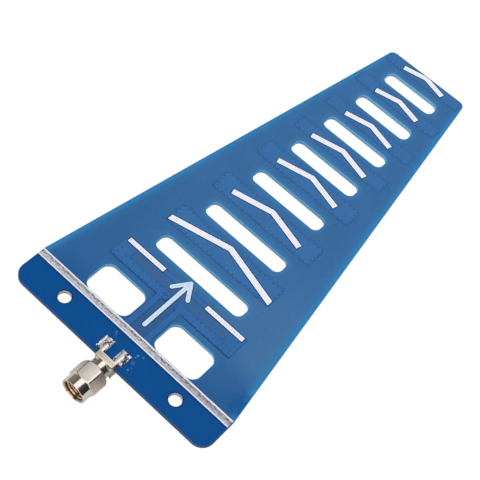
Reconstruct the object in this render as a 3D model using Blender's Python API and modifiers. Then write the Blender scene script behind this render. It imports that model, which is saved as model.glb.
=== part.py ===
# Directional antenna: a printed-circuit Yagi on one laminate board, fed by a coaxial plug at its near edge.
#
# Board frame: X across the board, Y from the plug's end to the far end, Z up. The near edge lies at y = 0
# and the top face of the laminate at z = 0. Lengths are in metres. An empty carries that frame, so that the
# model's origin is on the ground under its middle, where the plug's nut and the far end rest.

import math

import bmesh
import bpy
from mathutils import Matrix, Vector

# Board. Its length and far width follow from the last director.
BOARD_WIDTH = 0.0750
BOARD_THICKNESS = 0.0016
TAPER_SETBACK = 0.0005
FAR_MARGIN = 0.0002
FAR_SIDE_MARGIN = 0.00035
NEAR_CORNER_RADIUS = 0.0043
KINK_RADIUS = 0.0060
FAR_CORNER_RADIUS = 0.0023

# Fixing holes
HOLE_DIAMETER = 0.0040
HOLE_SPACING = 0.0436
HOLE_SETBACK = 0.0056

# Windows beside the stems
WINDOW_WIDTH = 0.0166
WINDOW_RADIUS = 0.0030
WINDOW_STEM_MARGIN = 0.00025
WINDOW_REFLECTOR_MARGIN = 0.0001
WINDOW_LOOP_MARGIN = 0.0020

# Copper
COPPER_THICKNESS = 0.00007
COPPER_PULLBACK = 0.0002
ARTWORK_SHIFT = -0.00015
REFLECTOR_FAR = 0.0126
STEM_INNER = 0.0025
STEM_WIDTH = 0.0024
STEM_LENGTH = 0.0130
LOOP_HALF_LENGTH = 0.0240
LOOP_END_WIDTH = 0.0055
LOOP_ARM_WIDTH = 0.0034
LOOP_SLOT_WIDTH = 0.0032
LOOP_BAND_WIDTH = 0.0020
FEED_GAP_LEFT = 0.0012
FEED_GAP_RIGHT = 0.0021
FEED_LINE_WIDTH = 0.0027
LOOP_CORNER_RADIUS = 0.0005
DIRECTOR_CORNER_RADIUS = 0.0004
LAST_CORNER_RADIUS = 0.0020

# Slots and directors take turns along the board, each pair counted from the director before it, or from
# the dipole: the laminate before the slot, the laminate after it, then the director
SLOT_WIDTH = 0.0061
SLOT_RADIUS = 0.0023
SLOT_HALF_LENGTHS = (0.0173, 0.0154, 0.0139, 0.0132, 0.0125, 0.0113, 0.0106)
WEBS_BEFORE_SLOTS = (0.00315, 0.00275, 0.00335, 0.00205, 0.00215, 0.00225, 0.00185)
WEBS_AFTER_SLOTS = (0.00335, 0.00325, 0.00335, 0.00285, 0.00245, 0.00275, 0.00315)
DIRECTOR_WIDTHS = (0.0081, 0.0082, 0.0075, 0.0058, 0.0057, 0.0058, 0.0051)
DIRECTOR_HALF_SPANS = (0.0208, 0.0202, 0.0193, 0.0185, 0.0180, 0.0174, 0.0160)

# Chevrons on the directors: how far the point stays from the director's far edge, where less than nothing
# is past it, and how much shorter the chevron is than the director at each end
CHEVRON_SETBACKS = (0.0001, 0.0002, 0.0002, 0.0003, 0.0003, 0.0004, -0.0002)
CHEVRON_INSETS = (0.0002, 0.0059, 0.0066, 0.0067, 0.0078, 0.0079, 0.0070)
CHEVRON_WIDTH = 0.00227
CHEVRON_SLOPE = math.radians(14.7)

# Tinned areas
STRIP_WIDTH = 0.0026
TIN_THICKNESS = 0.00005
PAD_INNER = 0.00145
PAD_OUTER = 0.0049
PAD_NEAR = 0.0015
PAD_FAR = 0.0060

# Printed marks
INK_THICKNESS = 0.00005
MARK_MARGIN = 0.0001
BAR_LENGTH = 0.0148
BAR_SETBACK = 0.0009
ARROW_WIDTH = 0.00137
ARROW_SETBACK = 0.0027
ARROW_LEAD = 0.0022
ARROW_HEAD_LENGTH = 0.0066
ARROW_HEAD_ANGLE = math.radians(32.7)

# Plug, with every length along its axis measured forwards from the board's near edge
PLUG_SHIFT = 0.00025
FLANGE_SIDE = 0.0065
FLANGE_FRONT = 0.0008
FLANGE_THICKNESS = 0.0019
FLANGE_CORNER = 0.0002
LEG_LENGTH = 0.0035
LEG_WIDTH = 0.0011
NOTCH_CLEARANCE = 0.0002
NECK_DIAMETER = 0.0064
NECK_LENGTH = 0.0023
NECK_SINK = 0.0003
SLEEVE_BORE = 0.0041
SLEEVE_WALL = 0.00025
SLEEVE_LENGTH = 0.0020
JOURNAL_STEP = 0.0003
JOURNAL_LENGTH = 0.0038
SMALL_CHAMFER = 0.0001

# Contact and dielectric
PIN_FRONT_DIAMETER = 0.00092
PIN_MIDDLE_DIAMETER = 0.00127
PIN_TAIL_DIAMETER = 0.0011
PIN_REACH = 0.0021
PIN_POINT_LENGTH = 0.0006
PIN_SHOULDER_INSET = 0.0002
DIELECTRIC_RECESS = 0.0001
DIELECTRIC_CLEARANCE = 0.0001
SOLDER_FILM = 0.00005

# Coupling nut and its retaining ring
NUT_WALL = 0.0009
NUT_REAR_GAP = 0.0003
NUT_HEX_LENGTH = 0.0057
NUT_NOSE_LENGTH = 0.0030
NUT_NOSE_STEP = 0.0001
NUT_REAR_CHAMFER = 0.0009
NUT_FRONT_CHAMFER = 0.0005
NUT_FACE_INSET = 0.00015
NUT_NOSE_CHAMFER = 0.00025
NUT_THREAD_STEP = 0.00035
NUT_MOUTH_CHAMFER = 0.0006
RING_SETBACK = 0.0011
RING_THICKNESS = 0.0006
RING_BITE = 0.00035
RING_REACH = 0.0006
RING_GAP = 0.0012
RUNNING_CLEARANCE = 0.00015
RING_PLAY = 0.0001

# Solder mounds: half width, half length and height
LEG_MOUND = (0.00125, 0.0021, 0.00082)
PIN_MOUND = (0.0013, 0.0019, 0.00080)
SOLDER_CLEARANCE = 0.00002

# Facets of a full turn, and points of a rounded corner
NUT_FACETS = 72
TURNED_FACETS = 48
SMALL_FACETS = 24
HOLE_FACETS = 32
CORNER_STEPS = 6
CUTTER_MARGIN = 0.002

# Finishes: linear colour, roughness and metallic value
LAMINATE = ((0.045, 0.156, 0.352, 1.0), 0.35, 0.0)
MASKED_COPPER = ((0.006, 0.076, 0.284, 1.0), 0.28, 0.0)
TINNED = ((0.58, 0.61, 0.65, 1.0), 0.38, 1.0)
INK = ((0.83, 0.83, 0.88, 1.0), 0.55, 0.0)
NICKEL = ((0.72, 0.66, 0.54, 1.0), 0.22, 1.0)
GOLD = ((0.83, 0.62, 0.26, 1.0), 0.25, 1.0)
DIELECTRIC = ((0.82, 0.82, 0.79, 1.0), 0.5, 0.0)
SPRING = ((0.35, 0.34, 0.32, 1.0), 0.4, 1.0)

# Heights and stations that follow from the sizes above
STEM_OUTER = STEM_INNER + STEM_WIDTH
LOOP_NEAR = REFLECTOR_FAR + STEM_LENGTH
LOOP_ARM_FAR = LOOP_NEAR + LOOP_ARM_WIDTH
LOOP_BAND_NEAR = LOOP_ARM_FAR + LOOP_SLOT_WIDTH
LOOP_FAR = LOOP_BAND_NEAR + LOOP_BAND_WIDTH
LOOP_SLOT_HALF_LENGTH = LOOP_HALF_LENGTH - LOOP_END_WIDTH
WINDOW_INNER = STEM_OUTER + abs(ARTWORK_SHIFT) + WINDOW_STEM_MARGIN
COPPER_TOP = COPPER_THICKNESS
COPPER_UNDER = -BOARD_THICKNESS - COPPER_THICKNESS
PLUG_HEIGHT = COPPER_UNDER - SOLDER_FILM - PIN_TAIL_DIAMETER / 2
LEG_HEIGHT = PLUG_HEIGHT + FLANGE_SIDE / 2 - COPPER_TOP - SOLDER_FILM
FLANGE_REAR = FLANGE_FRONT - FLANGE_THICKNESS
LEG_TIP = FLANGE_REAR - LEG_LENGTH
NECK_FRONT = FLANGE_FRONT + NECK_LENGTH
JOURNAL_FRONT = NECK_FRONT + JOURNAL_LENGTH
SLEEVE_FRONT = JOURNAL_FRONT + SLEEVE_LENGTH
SLEEVE_RADIUS = SLEEVE_BORE / 2 + SLEEVE_WALL
JOURNAL_RADIUS = SLEEVE_RADIUS + JOURNAL_STEP
DIELECTRIC_FRONT = SLEEVE_FRONT - DIELECTRIC_RECESS
PIN_TIP = SLEEVE_FRONT + PIN_REACH
NUT_REAR = NECK_FRONT + NUT_REAR_GAP
NUT_HEX_FRONT = NUT_REAR + NUT_HEX_LENGTH
NUT_FRONT = NUT_HEX_FRONT + NUT_NOSE_LENGTH
RING_REAR = NUT_REAR + RING_SETBACK
RING_FRONT = RING_REAR + RING_THICKNESS
RING_ROOM = JOURNAL_RADIUS + RING_REACH + RUNNING_CLEARANCE
NUT_FLAT = RING_ROOM + NUT_WALL
NOTCH_HALF_WIDTH = FLANGE_SIDE / 2 + abs(PLUG_SHIFT) + NOTCH_CLEARANCE
NOTCH_DEPTH = -FLANGE_REAR + NOTCH_CLEARANCE


def stations():
    """The near edge of each slot and of the director after it, then the far end of the board."""
    slots, directors, place = [], [], LOOP_FAR
    for before, after, width in zip(WEBS_BEFORE_SLOTS, WEBS_AFTER_SLOTS, DIRECTOR_WIDTHS):
        slots.append(place + before)
        directors.append(slots[-1] + SLOT_WIDTH + after)
        place = directors[-1] + width
    return slots, directors, place + FAR_MARGIN


def clear_scene():
    for obj in list(bpy.data.objects):
        bpy.data.objects.remove(obj, do_unlink=True)


def new_collection(name):
    collection = bpy.data.collections.new(name)
    bpy.context.scene.collection.children.link(collection)
    return collection


def new_empty(name, parent=None, location=(0, 0, 0), rotation=(0, 0, 0)):
    empty = bpy.data.objects.new(name, None)
    empty.parent = parent
    empty.location = location
    empty.rotation_euler = rotation
    PARTS.objects.link(empty)
    return empty


def new_object(name, data, parent, collection):
    obj = bpy.data.objects.new(name, data)
    obj.parent = parent
    collection.objects.link(obj)
    if collection == CUTTERS:
        obj.hide_render = True
        obj.display_type = "WIRE"
    return obj


def paint(obj, finish):
    colour, roughness, metallic = finish
    material = bpy.data.materials.new(obj.name)
    material.use_nodes = True
    shader = material.node_tree.nodes["Principled BSDF"]
    shader.inputs["Base Color"].default_value = colour
    shader.inputs["Roughness"].default_value = roughness
    shader.inputs["Metallic"].default_value = metallic
    material.diffuse_color = colour
    obj.data.materials.append(material)


def arc(centre, radius, start, end, steps):
    """Points from angle start to angle end round centre."""
    angles = [start + (end - start) * step / steps for step in range(steps + 1)]
    return [Vector(centre) + radius * Vector((math.cos(angle), math.sin(angle))) for angle in angles]


def rounded(corners):
    """The outline through (x, y, radius) corners, each rounded by an arc that touches both its sides."""
    points = []
    for index, (x, y, radius) in enumerate(corners):
        corner = Vector((x, y))
        if radius == 0:
            points.append(corner)
            continue
        back = (Vector(corners[index - 1][:2]) - corner).normalized()
        ahead = (Vector(corners[(index + 1) % len(corners)][:2]) - corner).normalized()
        half = back.angle(ahead) / 2
        centre = corner + (back + ahead).normalized() * radius / math.sin(half)
        first = corner + back * radius / math.tan(half) - centre
        last = corner + ahead * radius / math.tan(half) - centre
        turn = math.atan2(first.x * last.y - first.y * last.x, first.dot(last))
        start = math.atan2(first.y, first.x)
        points += arc(centre, radius, start, start + turn, CORNER_STEPS)
    return points


def rectangle(left, right, near, far, radius=0):
    return rounded([(left, near, radius), (right, near, radius), (right, far, radius), (left, far, radius)])


def circle(x, y, radius):
    return arc((x, y), radius, 0, math.tau, HOLE_FACETS)[:-1]


def flat_piece(name, outlines, bottom, thickness, finish):
    """A sheet cut to the first outline, with the others as its openings, lying at the height bottom."""
    curve = bpy.data.curves.new(name, "CURVE")
    curve.dimensions = "2D"
    curve.fill_mode = "BOTH"
    curve.extrude = thickness / 2
    for outline in outlines:
        spline = curve.splines.new("POLY")
        spline.points.add(len(outline) - 1)
        for point, place in zip(spline.points, outline):
            point.co = (place[0], place[1], 0, 1)
        spline.use_cyclic_u = True
    obj = new_object(name, curve, BOARD_FRAME, PARTS)
    obj.location.z = bottom + thickness / 2
    paint(obj, finish)
    return obj


def as_mesh(curve_object):
    """The same piece as a mesh with its caps welded on, so that it can be cut."""
    bpy.context.view_layer.update()
    graph = bpy.context.evaluated_depsgraph_get()
    mesh = bpy.data.meshes.new_from_object(curve_object.evaluated_get(graph))
    sheet = bmesh.new()
    sheet.from_mesh(mesh)
    bmesh.ops.remove_doubles(sheet, verts=sheet.verts, dist=0.000001)
    sheet.to_mesh(mesh)
    sheet.free()
    name, place, curve = curve_object.name, curve_object.matrix_world.copy(), curve_object.data
    bpy.data.objects.remove(curve_object)
    bpy.data.curves.remove(curve)
    obj = new_object(name, mesh, BOARD_FRAME, PARTS)
    obj.matrix_world = place
    return obj


def box(name, low, high, parent, collection, bevel=0):
    """A box between two corners, with its edges along Z rounded by bevel."""
    mesh = bpy.data.meshes.new(name)
    low, high = Vector(low), Vector(high)
    size = high - low
    shape = bmesh.new()
    place = Matrix.Translation((low + high) / 2) @ Matrix.Diagonal((*size, 1))
    bmesh.ops.create_cube(shape, size=1, matrix=place)
    if bevel:
        upright = [edge for edge in shape.edges if abs(edge.verts[0].co.z - edge.verts[1].co.z) > size.z / 2]
        bmesh.ops.bevel(shape, geom=upright, offset=bevel, segments=3, profile=0.5, affect="EDGES")
    shape.to_mesh(mesh)
    shape.free()
    return new_object(name, mesh, parent, collection)


def prism(name, radius, low, high, facets, parent, collection, turn=0.0):
    """A cylinder or a regular prism along Z, turned about it."""
    mesh = bpy.data.meshes.new(name)
    shape = bmesh.new()
    place = Matrix.Translation((0, 0, (low + high) / 2)) @ Matrix.Rotation(turn, 4, "Z")
    bmesh.ops.create_cone(
        shape,
        cap_ends=True,
        segments=facets,
        radius1=radius,
        radius2=radius,
        depth=high - low,
        matrix=place,
    )
    shape.to_mesh(mesh)
    shape.free()
    if facets > 6:
        mesh.shade_smooth()
        mesh.set_sharp_from_angle(angle=math.radians(35))
    return new_object(name, mesh, parent, collection)


def turned(name, profile, closed, facets, collection):
    """A (radius, height) profile swept round Z: down its outer side first, then up its bore if closed."""
    mesh = bpy.data.meshes.new(name)
    shape = bmesh.new()
    verts = [shape.verts.new((radius, 0, height)) for radius, height in profile]
    for first, second in zip(verts, verts[1:]):
        shape.edges.new((first, second))
    if closed:
        shape.edges.new((verts[-1], verts[0]))
    shape.to_mesh(mesh)
    shape.free()
    obj = new_object(name, mesh, PLUG_AXIS, collection)
    screw = obj.modifiers.new("turn", "SCREW")
    screw.angle = math.tau
    screw.steps = facets
    screw.render_steps = facets
    screw.use_merge_vertices = True
    screw.merge_threshold = 0.000001
    screw.use_smooth_shade = True
    return obj


def boolean(obj, operation, other):
    modifier = obj.modifiers.new(f"{operation.lower()} {other.name}", "BOOLEAN")
    modifier.operation = operation
    modifier.solver = "EXACT"
    modifier.object = other


def build_board():
    half = BOARD_WIDTH / 2
    far_half = DIRECTOR_HALF_SPANS[-1] + FAR_SIDE_MARGIN
    taper = REFLECTOR_FAR + TAPER_SETBACK
    outline = rounded(
        [
            (-half, 0, NEAR_CORNER_RADIUS),
            (-NOTCH_HALF_WIDTH, 0, 0),
            (-NOTCH_HALF_WIDTH, NOTCH_DEPTH, 0),
            (NOTCH_HALF_WIDTH, NOTCH_DEPTH, 0),
            (NOTCH_HALF_WIDTH, 0, 0),
            (half, 0, NEAR_CORNER_RADIUS),
            (half, taper, KINK_RADIUS),
            (far_half, BOARD_LENGTH, FAR_CORNER_RADIUS),
            (-far_half, BOARD_LENGTH, FAR_CORNER_RADIUS),
            (-half, taper, KINK_RADIUS),
        ]
    )
    window_outer = WINDOW_INNER + WINDOW_WIDTH
    window = (REFLECTOR_FAR + WINDOW_REFLECTOR_MARGIN, LOOP_NEAR - WINDOW_LOOP_MARGIN, WINDOW_RADIUS)
    openings = [rectangle(-window_outer, -WINDOW_INNER, *window)]
    openings.append(rectangle(WINDOW_INNER, window_outer, *window))
    for near, half_length in zip(SLOT_STARTS, SLOT_HALF_LENGTHS):
        openings.append(rectangle(-half_length, half_length, near, near + SLOT_WIDTH, SLOT_RADIUS))
    openings += [circle(side * HOLE_SPACING / 2, HOLE_SETBACK, HOLE_DIAMETER / 2) for side in (-1, 1)]
    flat_piece("circuit_board", [outline, *openings], -BOARD_THICKNESS, BOARD_THICKNESS, LAMINATE)


def build_radiator_top():
    """Reflector, stems and folded dipole, etched as one piece."""
    half = BOARD_WIDTH / 2 - COPPER_PULLBACK
    notch = NOTCH_HALF_WIDTH + COPPER_PULLBACK
    left, right = ARTWORK_SHIFT - LOOP_HALF_LENGTH, ARTWORK_SHIFT + LOOP_HALF_LENGTH
    outer_left, outer_right = ARTWORK_SHIFT - STEM_OUTER, ARTWORK_SHIFT + STEM_OUTER
    inner_left, inner_right = ARTWORK_SHIFT - STEM_INNER, ARTWORK_SHIFT + STEM_INNER
    slot_left, slot_right = ARTWORK_SHIFT - LOOP_SLOT_HALF_LENGTH, ARTWORK_SHIFT + LOOP_SLOT_HALF_LENGTH
    gap_left, gap_right = ARTWORK_SHIFT - FEED_GAP_LEFT, ARTWORK_SHIFT + FEED_GAP_RIGHT
    corner = NEAR_CORNER_RADIUS - COPPER_PULLBACK
    outline = rounded(
        [
            (-half, COPPER_PULLBACK, corner),
            (-notch, COPPER_PULLBACK, 0),
            (-notch, NOTCH_DEPTH + COPPER_PULLBACK, 0),
            (notch, NOTCH_DEPTH + COPPER_PULLBACK, 0),
            (notch, COPPER_PULLBACK, 0),
            (half, COPPER_PULLBACK, corner),
            (half, REFLECTOR_FAR, 0),
            (outer_right, REFLECTOR_FAR, 0),
            (outer_right, LOOP_NEAR, 0),
            (right, LOOP_NEAR, LOOP_CORNER_RADIUS),
            (right, LOOP_FAR, LOOP_CORNER_RADIUS),
            (left, LOOP_FAR, LOOP_CORNER_RADIUS),
            (left, LOOP_NEAR, LOOP_CORNER_RADIUS),
            (outer_left, LOOP_NEAR, 0),
            (outer_left, REFLECTOR_FAR, 0),
            (-half, REFLECTOR_FAR, 0),
        ]
    )
    feed_gap = rounded(
        [
            (inner_left, REFLECTOR_FAR, 0),
            (inner_right, REFLECTOR_FAR, 0),
            (inner_right, LOOP_NEAR, 0),
            (gap_right, LOOP_NEAR, 0),
            (gap_right, LOOP_ARM_FAR, 0),
            (slot_right, LOOP_ARM_FAR, 0),
            (slot_right, LOOP_BAND_NEAR, 0),
            (slot_left, LOOP_BAND_NEAR, 0),
            (slot_left, LOOP_ARM_FAR, 0),
            (gap_left, LOOP_ARM_FAR, 0),
            (gap_left, LOOP_NEAR, 0),
            (inner_left, LOOP_NEAR, 0),
        ]
    )
    clear = HOLE_DIAMETER / 2 + COPPER_PULLBACK
    holes = [circle(side * HOLE_SPACING / 2, HOLE_SETBACK, clear) for side in (-1, 1)]
    flat_piece("radiator_copper_top", [outline, feed_gap, *holes], 0, COPPER_THICKNESS, MASKED_COPPER)


def build_radiator_under():
    """Feed line up the middle, joined to the left arm of the lower half of the folded dipole."""
    line_left, line_right = ARTWORK_SHIFT - FEED_LINE_WIDTH / 2, ARTWORK_SHIFT + FEED_LINE_WIDTH / 2
    left, right = ARTWORK_SHIFT - LOOP_HALF_LENGTH, ARTWORK_SHIFT + LOOP_HALF_LENGTH
    slot_left, slot_right = ARTWORK_SHIFT - LOOP_SLOT_HALF_LENGTH, ARTWORK_SHIFT + LOOP_SLOT_HALF_LENGTH
    gap_right = ARTWORK_SHIFT + FEED_GAP_RIGHT
    start = NOTCH_DEPTH + COPPER_PULLBACK
    outline = rounded(
        [
            (line_left, start, 0),
            (line_right, start, 0),
            (line_right, LOOP_ARM_FAR, 0),
            (slot_left, LOOP_ARM_FAR, 0),
            (slot_left, LOOP_BAND_NEAR, 0),
            (slot_right, LOOP_BAND_NEAR, 0),
            (slot_right, LOOP_ARM_FAR, 0),
            (gap_right, LOOP_ARM_FAR, 0),
            (gap_right, LOOP_NEAR, 0),
            (right, LOOP_NEAR, LOOP_CORNER_RADIUS),
            (right, LOOP_FAR, LOOP_CORNER_RADIUS),
            (left, LOOP_FAR, LOOP_CORNER_RADIUS),
            (left, LOOP_NEAR, LOOP_CORNER_RADIUS),
            (line_left, LOOP_NEAR, 0),
        ]
    )
    flat_piece("radiator_copper_under", [outline], COPPER_UNDER, COPPER_THICKNESS, MASKED_COPPER)


def build_directors():
    rows = zip(DIRECTOR_STARTS, DIRECTOR_WIDTHS, DIRECTOR_HALF_SPANS)
    for index, (near, width, half_span) in enumerate(rows, 1):
        last = index == len(DIRECTOR_WIDTHS)
        far_radius = LAST_CORNER_RADIUS if last else DIRECTOR_CORNER_RADIUS
        left, right = ARTWORK_SHIFT - half_span, ARTWORK_SHIFT + half_span
        outline = rounded(
            [
                (left, near, DIRECTOR_CORNER_RADIUS),
                (right, near, DIRECTOR_CORNER_RADIUS),
                (right, near + width, far_radius),
                (left, near + width, far_radius),
            ]
        )
        flat_piece(f"director_{index}_top", [outline], 0, COPPER_THICKNESS, MASKED_COPPER)
        flat_piece(f"director_{index}_under", [outline], COPPER_UNDER, COPPER_THICKNESS, MASKED_COPPER)


def build_tinned_strip():
    half = BOARD_WIDTH / 2 - COPPER_PULLBACK
    outline = rectangle(-half, half, REFLECTOR_FAR - STRIP_WIDTH, REFLECTOR_FAR)
    flat_piece("tinned_strip", [outline], COPPER_TOP, TIN_THICKNESS, TINNED)


def build_chevrons():
    """Bent bars that point to the far end. The first runs the full width of its director, with upright ends,
    the others end square, and the last is cut off where its point would leave the copper."""
    slope = math.tan(CHEVRON_SLOPE)
    square = CHEVRON_WIDTH * Vector((math.sin(CHEVRON_SLOPE), math.cos(CHEVRON_SLOPE)))
    drop = CHEVRON_WIDTH / math.cos(CHEVRON_SLOPE)
    rows = zip(DIRECTOR_STARTS, DIRECTOR_WIDTHS, DIRECTOR_HALF_SPANS, CHEVRON_SETBACKS, CHEVRON_INSETS)
    for index, (near, width, director_half, setback, inset) in enumerate(rows, 1):
        point = near + width - setback
        limit = near + width - MARK_MARGIN
        blunt = max(point - limit, 0) / slope
        span = director_half - inset
        end = Vector((0, drop)) if index == 1 else square
        half = [Vector((blunt, min(point, limit))), Vector((span, point - span * slope))]
        half.append(half[-1] - end)
        mirrored = [Vector((-place.x, place.y)) for place in reversed(half)]
        if not blunt:
            mirrored.pop()
        outline = [*half, Vector((0, point - drop)), *mirrored]
        outline = [place + Vector((ARTWORK_SHIFT, 0)) for place in outline]
        flat_piece(f"chevron_{index}", [outline], COPPER_TOP, INK_THICKNESS, INK)


def build_dipole_bars():
    near, far = LOOP_BAND_NEAR + MARK_MARGIN, LOOP_FAR - MARK_MARGIN
    outer = LOOP_HALF_LENGTH - BAR_SETBACK
    inner = outer - BAR_LENGTH
    left_bar = rectangle(ARTWORK_SHIFT - outer, ARTWORK_SHIFT - inner, near, far)
    right_bar = rectangle(ARTWORK_SHIFT + inner, ARTWORK_SHIFT + outer, near, far)
    flat_piece("dipole_bar_left", [left_bar], COPPER_TOP, INK_THICKNESS, INK)
    flat_piece("dipole_bar_right", [right_bar], COPPER_TOP, INK_THICKNESS, INK)


def build_arrow():
    """The arrow between the stems. Its head crosses the copper of the dipole, so it is relieved there."""
    radius = ARROW_WIDTH / 2
    point = Vector((ARTWORK_SHIFT, LOOP_FAR + ARROW_LEAD - radius))
    right_way = ARROW_HEAD_ANGLE - math.pi / 2
    left_way = 3 * math.pi / 2 - ARROW_HEAD_ANGLE
    stroke = ARROW_HEAD_LENGTH - radius
    right_end = point + stroke * Vector((math.cos(right_way), math.sin(right_way)))
    left_end = point + stroke * Vector((math.cos(left_way), math.sin(left_way)))
    armpit = point.y - radius * (1 + math.cos(ARROW_HEAD_ANGLE)) / math.sin(ARROW_HEAD_ANGLE)
    quarter = math.pi / 2
    start = REFLECTOR_FAR + ARROW_SETBACK + radius
    outline = arc((point.x, start), radius, -math.pi, 0, CORNER_STEPS)
    outline.append(Vector((point.x + radius, armpit)))
    outline += arc(right_end, radius, right_way - quarter, right_way + quarter, CORNER_STEPS)
    outline += arc(point, radius, ARROW_HEAD_ANGLE, math.pi - ARROW_HEAD_ANGLE, CORNER_STEPS)
    outline += arc(left_end, radius, left_way - quarter, left_way + quarter, CORNER_STEPS)
    outline.append(Vector((point.x - radius, armpit)))
    ink = flat_piece("direction_arrow", [outline], 0, COPPER_THICKNESS + INK_THICKNESS, INK)
    arrow = as_mesh(ink)
    band = box(
        "copper_under_arrow",
        (-LOOP_HALF_LENGTH, LOOP_BAND_NEAR - MARK_MARGIN, -CUTTER_MARGIN),
        (LOOP_HALF_LENGTH, LOOP_FAR + MARK_MARGIN, COPPER_TOP + SOLDER_CLEARANCE),
        BOARD_FRAME,
        CUTTERS,
    )
    boolean(arrow, "DIFFERENCE", band)


def build_plug_body():
    """A square bar milled to a flange and four legs, with the turned barrel before it, bored through."""
    half = FLANGE_SIDE / 2
    body = box(
        "plug_body",
        (-half, -half, LEG_TIP),
        (half, half, FLANGE_FRONT),
        PLUG_AXIS,
        PARTS,
        FLANGE_CORNER,
    )
    inside, between = half - LEG_HEIGHT, half - LEG_WIDTH
    beyond = half + CUTTER_MARGIN
    below = LEG_TIP - CUTTER_MARGIN
    rear = FLANGE_REAR
    across = box("mill_across", (-beyond, -inside, below), (beyond, inside, rear), PLUG_AXIS, CUTTERS)
    upright = box("mill_upright", (-between, -beyond, below), (between, beyond, rear), PLUG_AXIS, CUTTERS)
    groove_radius = JOURNAL_RADIUS - RING_BITE - RING_PLAY
    neck_radius = NECK_DIAMETER / 2
    barrel = turned(
        "barrel",
        [
            (0, SLEEVE_FRONT),
            (SLEEVE_RADIUS - SMALL_CHAMFER, SLEEVE_FRONT),
            (SLEEVE_RADIUS, SLEEVE_FRONT - SMALL_CHAMFER),
            (SLEEVE_RADIUS, JOURNAL_FRONT),
            (JOURNAL_RADIUS - SMALL_CHAMFER, JOURNAL_FRONT),
            (JOURNAL_RADIUS, JOURNAL_FRONT - SMALL_CHAMFER),
            (JOURNAL_RADIUS, RING_FRONT + RING_PLAY),
            (groove_radius, RING_FRONT + RING_PLAY),
            (groove_radius, RING_REAR - RING_PLAY),
            (JOURNAL_RADIUS, RING_REAR - RING_PLAY),
            (JOURNAL_RADIUS, NECK_FRONT),
            (neck_radius - SMALL_CHAMFER, NECK_FRONT),
            (neck_radius, NECK_FRONT - SMALL_CHAMFER),
            (neck_radius, FLANGE_FRONT - NECK_SINK),
            (0, FLANGE_FRONT - NECK_SINK),
        ],
        False,
        TURNED_FACETS,
        CUTTERS,
    )
    bore = prism(
        "bore",
        SLEEVE_BORE / 2,
        below,
        SLEEVE_FRONT + CUTTER_MARGIN,
        TURNED_FACETS,
        PLUG_AXIS,
        CUTTERS,
    )
    boolean(body, "DIFFERENCE", across)
    boolean(body, "DIFFERENCE", upright)
    boolean(body, "UNION", barrel)
    boolean(body, "DIFFERENCE", bore)
    paint(body, NICKEL)


def build_dielectric():
    outer = SLEEVE_BORE / 2 - DIELECTRIC_CLEARANCE
    inner = PIN_MIDDLE_DIAMETER / 2 + DIELECTRIC_CLEARANCE
    front, rear = DIELECTRIC_FRONT, FLANGE_REAR
    section = [(outer, front), (outer, rear), (inner, rear), (inner, front)]
    paint(turned("insulator", section, True, TURNED_FACETS, PARTS), DIELECTRIC)


def build_centre_pin():
    front, middle, tail = PIN_FRONT_DIAMETER / 2, PIN_MIDDLE_DIAMETER / 2, PIN_TAIL_DIAMETER / 2
    shoulder = DIELECTRIC_FRONT - PIN_SHOULDER_INSET
    step = FLANGE_REAR + PIN_SHOULDER_INSET
    profile = [
        (0, PIN_TIP),
        (front / 2, PIN_TIP - PIN_POINT_LENGTH / 6),
        (front, PIN_TIP - PIN_POINT_LENGTH),
        (front, shoulder),
        (middle, shoulder),
        (middle, step),
        (tail, step),
        (tail, LEG_TIP),
        (0, LEG_TIP),
    ]
    paint(turned("centre_pin", profile, False, SMALL_FACETS, PARTS), GOLD)


def build_retaining_ring():
    """A split ring, half in the body's groove and half in the nut's: the nut can turn but not leave."""
    inner, outer = JOURNAL_RADIUS - RING_BITE, JOURNAL_RADIUS + RING_REACH
    section = [(outer, RING_FRONT), (outer, RING_REAR), (inner, RING_REAR), (inner, RING_FRONT)]
    ring = turned("retaining_ring", section, True, TURNED_FACETS, PARTS)
    split = box(
        "ring_split",
        (-RING_GAP / 2, 0, RING_REAR - CUTTER_MARGIN),
        (RING_GAP / 2, outer + CUTTER_MARGIN, RING_FRONT + CUTTER_MARGIN),
        PLUG_AXIS,
        CUTTERS,
    )
    boolean(ring, "DIFFERENCE", split)
    paint(ring, SPRING)


def build_coupling_nut():
    """A turned blank whose middle is milled to a hexagon. The chamfers leave curved edges on the flats."""
    corner = NUT_FLAT / math.cos(math.pi / 6)
    blank = corner + NUT_FACE_INSET
    nose = NUT_FLAT - NUT_NOSE_STEP
    journal_bore = JOURNAL_RADIUS + RUNNING_CLEARANCE
    thread = JOURNAL_RADIUS + NUT_THREAD_STEP
    nut = turned(
        "coupling_nut",
        [
            (nose - NUT_NOSE_CHAMFER, NUT_FRONT),
            (nose, NUT_FRONT - NUT_NOSE_CHAMFER),
            (nose, NUT_HEX_FRONT),
            (NUT_FLAT - NUT_FACE_INSET / 3, NUT_HEX_FRONT),
            (blank, NUT_HEX_FRONT - NUT_FRONT_CHAMFER),
            (blank, NUT_REAR + NUT_REAR_CHAMFER),
            (NUT_FLAT - NUT_FACE_INSET, NUT_REAR),
            (journal_bore, NUT_REAR),
            (journal_bore, RING_REAR - RING_PLAY),
            (RING_ROOM, RING_REAR - RING_PLAY),
            (RING_ROOM, RING_FRONT + RING_PLAY),
            (thread, RING_FRONT + RING_PLAY),
            (thread, NUT_FRONT - NUT_MOUTH_CHAMFER),
            (thread + NUT_MOUTH_CHAMFER, NUT_FRONT),
        ],
        True,
        NUT_FACETS,
        PARTS,
    )
    hexagon = prism(
        "hexagon",
        corner,
        NUT_REAR - CUTTER_MARGIN,
        NUT_FRONT + CUTTER_MARGIN,
        6,
        PLUG_AXIS,
        CUTTERS,
        math.pi / 6,
    )
    boolean(nut, "INTERSECT", hexagon)
    paint(nut, NICKEL)


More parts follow.
